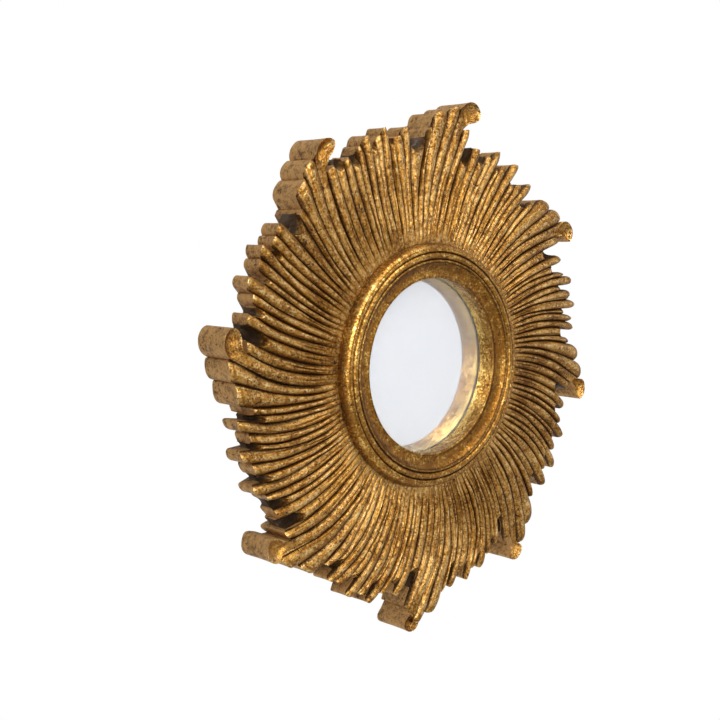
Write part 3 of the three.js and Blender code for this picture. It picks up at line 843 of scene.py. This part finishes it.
skin_column = skin_values("column").round().astype(int)
skin_row = skin_values("row").round().astype(int)
skin_down = skin_values("down")
face_down = np.array([[skin_down[index] for index in face.vertices] for face in skin.polygons])
is_wall = (face_down.max(axis=1) > 0.01) & (face_down.min(axis=1) < 0.99)
is_back = face_down.min(axis=1) > 0.99
loop_vertex = np.empty(len(skin.loops), dtype=np.int32)
skin.loops.foreach_get("vertex_index", loop_vertex)
print("segment skin:", len(skin.vertices), "vertices,", len(skin.polygons), "faces")

# %% [markdown]
# ## Carving the segments
# For each segment the functions above fill a table of columns by rows, and the shared skin looks its
# vertices up in it. Walls bulge a hair between top and back, as a gouge leaves them. A UV map lies
# along the rays for the tool marks, and the back faces get the bare wood.

# %% Carving the segments
WALL_BULGE = 0.5
WALL_DROP = 1.4
FIRST_ROWS = (BORE_RADIUS, RABBET_RADIUS - 0.2, RABBET_RADIUS, SEAT_RADIUS - 1.5)
ROWS_BACK = 6
FIRST_SEED = 40
X, Y, HIGH, LOW, GROOVE, RECESS, RUB_AND_HIGHLIGHT, RADIUS = range(8)


def carve_segment(number):
    """The place, heights and masks of every vertex of the skin, for one segment."""
    scroll, following = SCROLLS[number], SCROLLS[(number + 1) % len(SCROLLS)]
    chance = np.random.default_rng(FIRST_SEED + number)
    ends = outline_radius(scroll)
    outward = np.linspace(0, 1, ROWS + 2 - len(FIRST_ROWS))[1:] ** 0.92
    radius = np.empty((COLUMNS + 1, ROWS + 1))
    radius[:, :len(FIRST_ROWS)] = FIRST_ROWS
    radius[:, len(FIRST_ROWS):] = SEAT_RADIUS + (ends[:, None] - SEAT_RADIUS) * outward[None, :]
    x, y = sweep(scroll, following, radius, phase=number * 1.7)
    height, groove_wash_and_shade, recess, edge = section(radius, ends, chance, scroll.get("closed", 0.0))

    table = np.zeros((8, COLUMNS + 1, ROWS + CURL_ROWS + 1))
    table[:, :, :ROWS + 1] = x, y, height, underside(radius, ends), groove_wash_and_shade, recess, edge, radius
    part = slice(FIRST_CURL_COLUMN, LAST_CURL_COLUMN + 1)
    ray = np.stack([x, y], axis=2)[part]
    free_end = curl(scroll, ray[:, ROWS], ray[:, ROWS - ROWS_BACK], height[part, ROWS],
                    groove_wash_and_shade[part, ROWS])
    table[[X, Y, HIGH, GROOVE, RUB_AND_HIGHLIGHT], part, ROWS + 1:] = free_end
    table[RADIUS, part, ROWS + 1:] = np.hypot(*free_end[:2])
    return table[:, skin_column, skin_row]


for number in range(len(SCROLLS)):
    carved = carve_segment(number)
    z = carved[HIGH] + (carved[LOW] - carved[HIGH]) * skin_down ** WALL_DROP
    bulge = 1 - WALL_BULGE / carved[RADIUS] * np.sin(np.pi * skin_down)
    name = f"carved_segment_{number + 1}"
    mesh = skin.copy()
    mesh.name = name
    place = np.stack([carved[X] * bulge, carved[Y] * bulge, z], axis=1)
    mesh.vertices.foreach_set("co", place.ravel())
    write_mask(mesh, "groove", carved[GROOVE])
    write_mask(mesh, "recess", carved[RECESS])
    write_mask(mesh, "edge", carved[RUB_AND_HIGHLIGHT] * (skin_down < 0.01))
    write_mask(mesh, "wall", is_wall, "FACE")
    mesh.polygons.foreach_set("material_index", is_back.astype(np.int32))
    ray_map = mesh.uv_layers.new(name="along_rays")
    lengthwise = np.stack([(skin_column * 0.5 + number * 300) * MM, carved[RADIUS] * MM], axis=1)
    ray_map.data.foreach_set("uv", lengthwise[loop_vertex].astype(np.float32).ravel())
    mesh.update()
    mesh.shade_smooth()
    mesh.set_sharp_from_angle(angle=math.radians(48))
    node = f"sunburst_segment_{number + 1}"
    hang(mesh, name, [node], "frame", "gilding", gilding, old_wood)
print("carved", len(SCROLLS), "segments")

# %% [markdown]
# ## Ring moulding
# The ring is turned on a lathe, so it is made like one: a profile of a few smooth runs, spun round.
# The runs meet in the crisp quirks that the turner cuts beside the bead.

# %% Ring profile
RING_WIDTH = 41.2
SIGHT_RADIUS = FOOT_RADIUS - RING_WIDTH
BEAD_TOP = RING_TOP - 1.4
LIP_HEIGHT = BEAD_TOP - 7.5
REBATE_RADIUS = GLASS_RADIUS + 0.3
SPIGOT_RADIUS = BORE_RADIUS - 0.3
GLASS_BULGE = 2.5
GLASS_TOP = heights_of("mirror_glass")[1] - GLASS_BULGE
CURVE_STEPS = 7


def smooth_run(points):
    """A smooth curve through the points (a Catmull-Rom spline), corner to corner."""
    padded = [2 * points[0] - points[1], *points, 2 * points[-1] - points[-2]]
    run = []
    for a, b, c, d in zip(padded, padded[1:], padded[2:], padded[3:]):
        for step in range(CURVE_STEPS):
            t = step / CURVE_STEPS
            run.append(0.5 * ((2 * b) + (c - a) * t + (2 * a - 5 * b + 4 * c - d) * t ** 2
                              + (3 * b - a - 3 * c + d) * t ** 3))
    return [*run, points[-1]]


def ring_points(*pairs):
    return [Vector((SIGHT_RADIUS + RING_WIDTH * share, 0, height)) for share, height in pairs]


ring_runs = [
    smooth_run(ring_points((0, LIP_HEIGHT), (0.015, LIP_HEIGHT + 0.9), (0.045, LIP_HEIGHT + 1.2))),
    smooth_run(ring_points((0.045, LIP_HEIGHT + 1.2), (0.16, LIP_HEIGHT - 0.2), (0.3, LIP_HEIGHT + 0.8),
                           (0.43, LIP_HEIGHT + 4.9), (0.455, LIP_HEIGHT + 6.7))),
    smooth_run(ring_points((0.455, LIP_HEIGHT + 6.7), (0.475, BEAD_TOP - 0.1), (0.505, BEAD_TOP - 0.1),
                           (0.522, BEAD_TOP - 0.8))),
    smooth_run(ring_points((0.535, BEAD_TOP - 2.4), (0.555, BEAD_TOP - 0.8), (0.59, BEAD_TOP + 0.7),
                           (0.64, RING_TOP - 0.05), (0.69, BEAD_TOP + 0.6), (0.722, BEAD_TOP - 0.9),
                           (0.74, BEAD_TOP - 2.4))),
    smooth_run(ring_points((0.75, BEAD_TOP - 0.9), (0.77, BEAD_TOP - 0.1), (0.81, BEAD_TOP - 0.1),
                           (0.825, BEAD_TOP - 0.7))),
    smooth_run(ring_points((0.825, BEAD_TOP - 0.7), (0.87, BEAD_TOP - 0.9), (0.93, BEAD_TOP - 3.2),
                           (0.975, BEAD_TOP - 6.8), (0.995, BEAD_TOP - 10.4), (1.0, RING_LOW + 40.2))),
]
underneath = [
    Vector((SPIGOT_RADIUS, 0, SEAT_HEIGHT + 0.3)), Vector((SPIGOT_RADIUS, 0, RING_LOW)),
    Vector((REBATE_RADIUS, 0, RING_LOW)), Vector((REBATE_RADIUS, 0, GLASS_TOP + 0.3)),
    Vector((SIGHT_RADIUS + 2.2, 0, GLASS_TOP + 0.3)),
]
ring_profile = [point for run in ring_runs for point in run] + underneath
print("ring profile:", len(ring_profile), "points, top", round(max(p.z for p in ring_profile), 2))

# %% [markdown]
# ## Finish of the ring
# The ring is burnished leaf under a yellow coat of shellac. It is toned down as a whole, darker in its
# quirks and in the cove, lighter on the bead and edges with rubbed leaf and painted highlights, and
# lit on the throat, the inner wall below the lip, by a painted highlight. Four masks on the mesh say
# where these are.

# %% Finish of the ring
SHELLAC = (1.0, 0.96, 0.70, 1)

ring_gilding, tree, shader = new_material("ring_gilding")
# The throat mask is a painted highlight on the inner wall below the lip.
quirk_darkening, edge_rub_and_highlight, cove, throat_highlight = masks(tree, "groove", "edge", "cove", "throat_highlight")
place = object_coordinates(tree)
clouds = noise(place, 38, 5, 0.6)
polish = rescale(noise(place, 190, 4, 0.65), 0.40, 0.58, 0.05, 1.0)
# The quirks and the cove are darker.
leaf = use_group(tree, aged_leaf, {
    "Wash_and_shade": quirk_darkening * rescale(clouds, 0.3, 0.7, 0.35, 0.9) | cove * rescale(clouds, 0.4, 0.75, 0.05, 0.45),
    "Rubbed_and_highlight": throat_highlight | polish | edge_rub_and_highlight * rescale(clouds, 0.35, 0.6, 0.6, 1.3),
    "Dull": 0.0,
    "Toned_and_highlight": cove * 0.03 - throat_highlight * 0.10 + 0.045,
})
connect(shader, {
    "Base Color": mix_colors(1.0, leaf["Color"], SHELLAC, "MULTIPLY"),
    "Roughness": leaf["Roughness"] - 0.04,
    "Metallic": leaf["Metallic"],
    "Normal": bump(leaf["Height"], 0.5, 0.001),
})

# %% [markdown]
# ## Turning the ring
# Spinning the profile needs only its vertices and edges, and a full spin with use_merge closes the
# ring. The masks come from how far across the ring a point lies: each circle of a mask has its place,
# as a share of the ring's width, and its reach in millimetres.

# %% Turning the ring
RING_STEPS = 300
FACE_BELOW_LIP = 8
THROAT_BELOW_LIP = 0.5
QUIRKS = [(0.53, 1.2), (0.745, 1.2), (0.05, 0.8), (1.0, 1.6), (0.455, 1.3)]
# Bead tops and edges get rubbed leaf and painted highlight lines.
RUBBED_AND_HIGHLIGHT_EDGES = [(0.49, 0.9), (0.64, 1.5), (0.79, 1.1), (0.90, 1.4), (0.985, 0.9), (0.02, 0.9)]

ring_mesh = to_mesh(spun(ring_profile, RING_STEPS, closed=True), "turned_ring", 32)
turned = np.array([vertex.co for vertex in ring_mesh.vertices], dtype=float)
width_share = (np.hypot(turned[:, 0], turned[:, 1]) - SIGHT_RADIUS) / RING_WIDTH
on_face = turned[:, 2] > LIP_HEIGHT - FACE_BELOW_LIP
in_throat = turned[:, 2] < LIP_HEIGHT - THROAT_BELOW_LIP
# The throat circle marks the painted highlight on the inner wall.
for name, circles, where in (("groove", QUIRKS, on_face), ("edge", RUBBED_AND_HIGHLIGHT_EDGES, on_face),
                             ("cove", [(0.3, 7.0)], on_face), ("throat_highlight", [(0.0, 8.0)], in_throat)):
    nearness = [hump((width_share - centre) * RING_WIDTH, reach) for centre, reach in circles]
    write_mask(ring_mesh, name, np.maximum.reduce(nearness) * where)
hang(ring_mesh, "turned_ring", ["ring_moulding"], "frame", "ring_gilding", ring_gilding)
print("turned ring:", len(turned), "vertices")

# %% [markdown]
# ## Glass and silvering
# The mirror is a 4 mm sheet of gently domed glass with the silver on its back. Making both, the
# clear glass and the bright layer behind it, gives the doubled edge that a real mirror shows where
# it meets its frame. The silver is a little veiled with age, so its reflections are soft and pale.

# %% Glass and silvering
GLASS_THICKNESS = 4.0
GLASS_STEPS = 20
SILVER_THICKNESS = 0.12
SILVER_GAP = 0.01
SILVER, VEILED_SILVER = (0.955, 0.955, 0.975, 1), (0.935, 0.94, 0.965, 1)

glass, tree, shader = new_material("clear_glass")
ripples = noise(object_coordinates(tree), 9, 2, 0.5)
connect(shader, {"Base Color": (0.975, 0.985, 0.98, 1), "Roughness": 0.0, "IOR": 1.5,
                 "Transmission Weight": 1.0, "Normal": bump(ripples, 0.02, 0.001)})

silvering, tree, shader = new_material("silvering")
haze = noise(object_coordinates(tree), 25, 4, 0.6)
connect(shader, {"Base Color": mix_colors(rescale(haze, 0.3, 0.7), SILVER, VEILED_SILVER),
                 "Metallic": 0.58, "Roughness": 0.012})


def dome(base, shares):
    """Points from one share of the radius to another on a dome whose edge is at a height."""
    return [Vector((GLASS_RADIUS * share, 0, base + GLASS_BULGE * (1 - share * share)))
            for share in shares]


outwards = [step / GLASS_STEPS for step in range(GLASS_STEPS + 1)]
glass_back = GLASS_TOP - GLASS_THICKNESS + SILVER_THICKNESS
glass_run = dome(glass_back + SILVER_GAP, outwards) + dome(GLASS_TOP, reversed(outwards))
silver_run = dome(GLASS_TOP - GLASS_THICKNESS, outwards) + dome(glass_back, reversed(outwards))
for name, run, finish in (("glass_sheet", glass_run, glass), ("silver_layer", silver_run, silvering)):
    sheet = to_mesh(spun(run, 160), name)
    hang(sheet, name, ["mirror_glass"], "frame", "silvered_glass", finish)
print("glass from", round(glass_back, 2), "to", round(GLASS_TOP + GLASS_BULGE, 2), "above the back")

# %% [markdown]
# ## Board and packing
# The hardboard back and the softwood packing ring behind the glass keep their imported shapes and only
# get a finish. Hardboard is pressed fibre without a grain, so its noise is the same in all directions.

# %% Board and packing finishes
BOARD_BROWN, BOARD_DARK = (0.20, 0.115, 0.06, 1), (0.125, 0.068, 0.034, 1)

hardboard, tree, shader = new_material("hardboard")
place = object_coordinates(tree)
fibres = noise(place, 750, 6, 0.7)
tone = fibres * 0.6 + noise(place, 14, 4, 0.55) * 0.5
connect(shader, {
    "Base Color": mix_colors(rescale(tone, 0.4, 0.7), BOARD_BROWN, BOARD_DARK),
    "Roughness": rescale(fibres, 0.3, 0.7, 0.55, 0.8),
    "Normal": bump(fibres, 0.3, 0.0004),
})


def refinish(node, material):
    """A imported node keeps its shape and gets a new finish."""
    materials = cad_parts[node].data.materials
    materials.clear()
    materials.append(material)


refinish("backing_board", hardboard)
refinish("packing_ring", softwood)

# %% [markdown]
# ## Metal finishes
# Brass strap hangers dull to brown in patches, zinc screws stay grey. Both use one group for
# the fine scratches and the tarnish of small hardware.

# %% Worn metal group
worn_metal, metal_in, metal_out = new_group(
    "worn_metal",
    {"Bright": "Color", "Tarnish": "Color"},
    {"Color": "Color", "Roughness": "Float", "Height": "Float"},
)
place = object_coordinates(worn_metal)
scratches = noise(place, 2600, 3, 0.6)
staining = rescale(noise(place, 240, 5, 0.6), 0.42, 0.72)
connect(metal_out, {
    "Color": mix_colors(staining, metal_in["Bright"], metal_in["Tarnish"]),
    "Roughness": staining * 0.2 + rescale(scratches, 0.3, 0.7, 0.24, 0.38),
    "Height": scratches,
})


def metal_finish(name, bright, tarnish):
    material, tree, shader = new_material(name)
    worn = use_group(tree, worn_metal, {"Bright": bright, "Tarnish": tarnish})
    connect(shader, {"Metallic": 1.0, "Base Color": worn["Color"], "Roughness": worn["Roughness"],
                     "Normal": bump(worn["Height"], 0.12, 0.0002)})
    return material


brass = metal_finish("dulled_brass", (0.72, 0.50, 0.20, 1), (0.34, 0.20, 0.075, 1))
zinc = metal_finish("zinc_steel", (0.62, 0.62, 0.61, 1), (0.34, 0.34, 0.33, 1))

# %% [markdown]
# ## Screws
# A screw is turned like the ring, in small, from a run of radius and height pairs. Its slot is cut by
# slicing the head twice and pushing the strip between the cuts in. Each screw stops at another turn,
# as screws driven by hand do.

# %% Screws
SLOT_WIDTH = 0.9
SLOT_DEPTH = 0.7
HEAD_DEPTH = 1.0
BOARD_SCREW_RUN = [(0, 0), (3.9, 0), (4, 0.15), (1.75, 2.3), (1.75, 14.4), (0, 18)]
STRAP_SCREW_RUN = [(0, -1.7), (1.5, -1.62), (2.6, -1.3), (3.3, -0.75), (3.5, -0.3), (1.75, -0.3),
                   (1.75, 9.9), (0, 12.7)]


def head_faces(bm, crown_height):
    """The faces of the head that look back out of the frame."""
    return [face for face in bm.faces
            if face.normal.z < -0.6 and face.calc_center_median().z < crown_height + HEAD_DEPTH]


def screw(name, node, run, finish, slot):
    """A slotted screw, spun from its run and set where its node is."""
    x, z = middle_of(node)
    crown_height = run[0][1]
    bm = spun([(radius, 0, height) for radius, height in run], 32)
    bmesh.ops.remove_doubles(bm, verts=bm.verts, dist=MERGE_DISTANCE)
    bmesh.ops.recalc_face_normals(bm, faces=bm.faces)
    for side in (-1, 1):
        crown = head_faces(bm, crown_height)
        corners = list({vertex for face in crown for vertex in face.verts})
        rims = list({edge for face in crown for edge in face.edges})
        bmesh.ops.bisect_plane(bm, geom=crown + rims + corners, dist=0.0001,
                               plane_co=(side * SLOT_WIDTH / 2, 0, 0), plane_no=(1, 0, 0))
    strip = [face for face in head_faces(bm, crown_height)
             if abs(face.calc_center_median().x) < SLOT_WIDTH / 2]
    sunk = bmesh.ops.extrude_face_region(bm, geom=strip)["geom"]
    bmesh.ops.delete(bm, geom=[face for face in strip if face.is_valid], context="FACES_ONLY")
    bmesh.ops.translate(bm, verts=only(sunk, bmesh.types.BMVert), vec=(0, 0, SLOT_DEPTH))
    bmesh.ops.rotate(bm, verts=bm.verts, cent=(0, 0, 0), matrix=Matrix.Rotation(x + z, 3, "Z"))
    bmesh.ops.translate(bm, verts=bm.verts, vec=(x, z, 0))
    hang(to_mesh(bm, name, 35), name, [node], "frame", slot, finish)


for number in range(1, len(SCROLLS) + 1):
    screw(f"slotted_screw_{number}", f"board_screw_{number}", BOARD_SCREW_RUN, zinc, "steel")
for side in ("left", "right"):
    for number in (1, 2):
        node = f"strap_screw_{side}_{number}"
        lift = heights_of(node)[0] - STRAP_SCREW_RUN[0][1]
        run = [(radius, height + lift) for radius, height in STRAP_SCREW_RUN]
        screw(f"pan_screw_{side}_{number}", node, run, brass, "brass")

# %% [markdown]
# ## Strap hangers
# Each strap is one strip of brass, folded round the bar of its ring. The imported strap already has
# that fold and its screw holes, so it keeps its shape and is only given the brass.

# %% Strap hangers
for side in ("left", "right"):
    refinish(f"hanger_strap_{side}", brass)

# %% [markdown]
# ## D-rings
# A ring is one brass wire bent to a D. A circle is the section of the wire. It is spun round the
# bend, carried down the legs and spun round the two tight corners into the bar. Each ring rides on a
# body of its own, so that it can swing in the eye of its strap.

# %% D-rings
WIRE_RADIUS = 1.25
BEND_RADIUS = 9.0
RING_LEAN = 4.0
LEG = BEND_RADIUS * 0.55
CORNER = 2.2
BAR_HEIGHT = -2.9
BAR_BELOW_STRAP_TOP = 2.6


def d_ring(side):
    node = f"hanger_ring_{side}"
    bar_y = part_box(f"hanger_strap_{side}")[1].z / MM - BAR_BELOW_STRAP_TOP
    bm = bmesh.new()
    start = bmesh.ops.create_circle(bm, segments=20, radius=WIRE_RADIUS)["verts"]
    bmesh.ops.rotate(bm, verts=start, cent=(0, 0, 0), matrix=Matrix.Rotation(math.pi / 2, 3, "X"))
    bmesh.ops.translate(bm, verts=start, vec=(BEND_RADIUS, LEG, 0))
    arch = bmesh.ops.spin(bm, geom=bm.verts[:] + bm.edges[:], cent=(0, LEG, 0), axis=(0, 0, 1),
                          angle=math.pi, steps=40, use_duplicate=False)["geom_last"]
    ends = []
    for mirror, loop in ((1, start), (-1, only(arch, bmesh.types.BMVert))):
        circle = [edge for edge in bm.edges if all(vertex in loop for vertex in edge.verts)]
        leg = bmesh.ops.extrude_edge_only(bm, edges=circle)["geom"]
        leg_verts = only(leg, bmesh.types.BMVert)
        bmesh.ops.translate(bm, verts=leg_verts, vec=(0, CORNER - LEG, 0))
        leg_edges = [edge for edge in only(leg, bmesh.types.BMEdge)
                     if all(vertex in leg_verts for vertex in edge.verts)]
        corner = bmesh.ops.spin(bm, geom=leg_verts + leg_edges, axis=(0, 0, -mirror), angle=math.pi / 2,
                                cent=(mirror * (BEND_RADIUS - CORNER), CORNER, 0), steps=8,
                                use_duplicate=False)["geom_last"]
        ends += only(corner, bmesh.types.BMEdge)
    bmesh.ops.bridge_loops(bm, edges=ends)
    bmesh.ops.rotate(bm, verts=bm.verts, cent=(0, 0, 0),
                     matrix=Matrix.Rotation(math.radians(RING_LEAN), 3, "X"))
    bmesh.ops.translate(bm, verts=bm.verts, vec=(middle_of(node)[0], bar_y, BAR_HEIGHT))
    hang(to_mesh(bm, f"d_ring_{side}", 50), f"d_ring_{side}", [node], f"{side}_ring", "brass", brass)


for side in ("left", "right"):
    d_ring(side)

# %% [markdown]
# ## Wall bumpers
# Four felt discs keep the frame off the wall. Their rims are rounded as punched felt is, and their
# fuzz is a fine, strong bump.

# %% Wall bumpers
FELT_BROWN, FELT_LIGHT = (0.105, 0.075, 0.05, 1), (0.175, 0.13, 0.09, 1)

felt, tree, shader = new_material("felt")
fuzz = noise(object_coordinates(tree), 1500, 5, 0.7)
connect(shader, {"Base Color": mix_colors(rescale(fuzz, 0.35, 0.65), FELT_BROWN, FELT_LIGHT),
                 "Roughness": 0.95, "Normal": bump(fuzz, 0.7, 0.0006)})

for number in range(1, 5):
    node = f"wall_bumper_{number}"
    x, z = middle_of(node)
    radius = radius_of(node)
    thin, thick = heights_of(node)
    run = [(0, 0, thin), (radius - 1.2, 0, thin), (radius - 0.5, 0, thin + 0.25),
           (radius - 0.05, 0, thin + 1.0), (radius, 0, (thin + thick) / 2),
           (radius - 0.1, 0, thick - 0.2), (radius - 0.4, 0, thick), (0, 0, thick)]
    disc = to_mesh(spun(run, 48), f"felt_disc_{number}", 50)
    disc.transform(Matrix.Translation((x, z, 0)))
    hang(disc, f"felt_disc_{number}", [node], "frame", "felt", felt)

# %% [markdown]
# ## Studio
# The mirror hangs clear of everything: a plain pale floor lies far below it, and the camera sees
# white all round. The gold and the glass see a grey room with bright walls at the right, above and
# at the left, which is what gives polished metal its darks and lights. A faint even light fills the
# shadows.

# %% Floor
FLOOR_HEIGHT = -1.5
FLOOR_SIZE = 8


def is_ray(tree, kind):
    return Value(add_node(tree, "ShaderNodeLightPath").outputs[f"Is {kind} Ray"])


def choose_surface(tree, factor, first, second, output):
    """Mixes two shader nodes and links the result to the output."""
    blend = add_node(tree, "ShaderNodeMixShader")
    plug(blend.inputs[0], factor)
    for node, socket in ((first, blend.inputs[1]), (second, blend.inputs[2]),
                         (blend, tree.nodes[output].inputs["Surface"])):
        tree.links.new(node.outputs[0], socket)


floor_grid = bmesh.new()
bmesh.ops.create_grid(floor_grid, x_segments=1, y_segments=1, size=FLOOR_SIZE / 2)
floor_mesh = bpy.data.meshes.new("floor")
floor_grid.to_mesh(floor_mesh)
floor_grid.free()
floor = bpy.data.objects.new("floor", floor_mesh)
floor.location.z = FLOOR_HEIGHT
bpy.context.scene.collection.objects.link(floor)
floor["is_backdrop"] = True

floor_paint, tree, shader = new_material("floor_paint")
connect(shader, {"Base Color": (0.86, 0.86, 0.87, 1), "Roughness": 0.9})
floor_mesh.materials.append(floor_paint)
straight_on = is_ray(tree, "Camera") | is_ray(tree, "Transmission")
seen_white = (is_ray(tree, "Glossy") * 0.3 + straight_on).clamped()
choose_surface(tree, seen_white, tree.nodes["Principled BSDF"], add_node(tree, "ShaderNodeEmission"),
               "Material Output")

# %% World
AMBIENT = 0.47
AMBIENT_COLOR = (1, 0.98, 0.95, 1)
WALL_WHITE = (1.0, 1.0, 1.04, 1)
WALL_SHADE = (0.29, 0.29, 0.305, 1)
# where a bright wall is, from which nearness it begins to light up, where it is full, and how bright
BRIGHT_WALLS = [((0.60, -0.74, 0.02), 0.15, 0.93, 1.0), ((0.1, -0.5, 0.85), 0.1, 0.9, 1.0),
                ((-0.8, -0.6, 0.15), 0.2, 0.95, 0.75)]


def facing(tree, direction, begins, full, brightness):
    """How much a ray into the room heads for one side of it."""
    heading = add_node(tree, "ShaderNodeVectorMath", operation="DOT_PRODUCT")
    ray = Value(add_node(tree, "ShaderNodeTexCoord").outputs["Generated"])
    connect(heading.inputs, {0: ray, 1: Vector(direction).normalized()})
    node = add_node(tree, "ShaderNodeMapRange", interpolation_type="SMOOTHSTEP")
    limits = (Value(heading.outputs["Value"]), begins, full, 0.0, brightness)
    connect(node.inputs, dict(enumerate(limits)))
    return Value(node.outputs[0])


world = bpy.data.worlds.new("studio")
world.use_nodes = True
bpy.context.scene.world = world
tree = world.node_tree
ambient = tree.nodes["Background"]
connect(ambient.inputs, {"Color": AMBIENT_COLOR, "Strength": AMBIENT})
right, above, left = (facing(tree, *wall) for wall in BRIGHT_WALLS)
room = mix_colors(right | above | left, WALL_SHADE, WALL_WHITE)
backdrop = add_node(tree, "ShaderNodeBackground")
plug(backdrop.inputs["Color"], mix_colors(is_ray(tree, "Camera"), room, (1, 1, 1, 1)))
seen_white = is_ray(tree, "Camera") | is_ray(tree, "Glossy") | is_ray(tree, "Transmission")
choose_surface(tree, seen_white, ambient, backdrop, "World Output")

# %% [markdown]
# ## Lamps
# Three square softboxes light the carving: the key from the left and above, a broad one from the
# top, and a weak one beside the camera that reaches down to the glass.

# %% Lamps
SOFTBOXES = {  # place, side length, power
    "key_left": ((-1.3, -1.7, 0.9), 0.9, 24),
    "top": ((0.1, -1.0, 1.85), 1.3, 20),
    "front_left": ((-1.6, -1.35, -0.1), 0.9, 9),
}
for name, (place, size, power) in SOFTBOXES.items():
    lamp = bpy.data.lights.new(name, "AREA")
    lamp.size = size
    lamp.energy = power
    lamp_object = bpy.data.objects.new(name, lamp)
    lamp_object.location = place
    lamp_object.rotation_euler = (-Vector(place)).to_track_quat("-Z", "Y").to_euler()
    bpy.context.scene.collection.objects.link(lamp_object)

# %% Sizes and finish
bpy.context.scene.view_settings.view_transform = "Standard"
corners = {"cad": cad_box, "visual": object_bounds()}
for name, box in corners.items():
    print(name, [[round(value, 4) for value in corner] for corner in box])
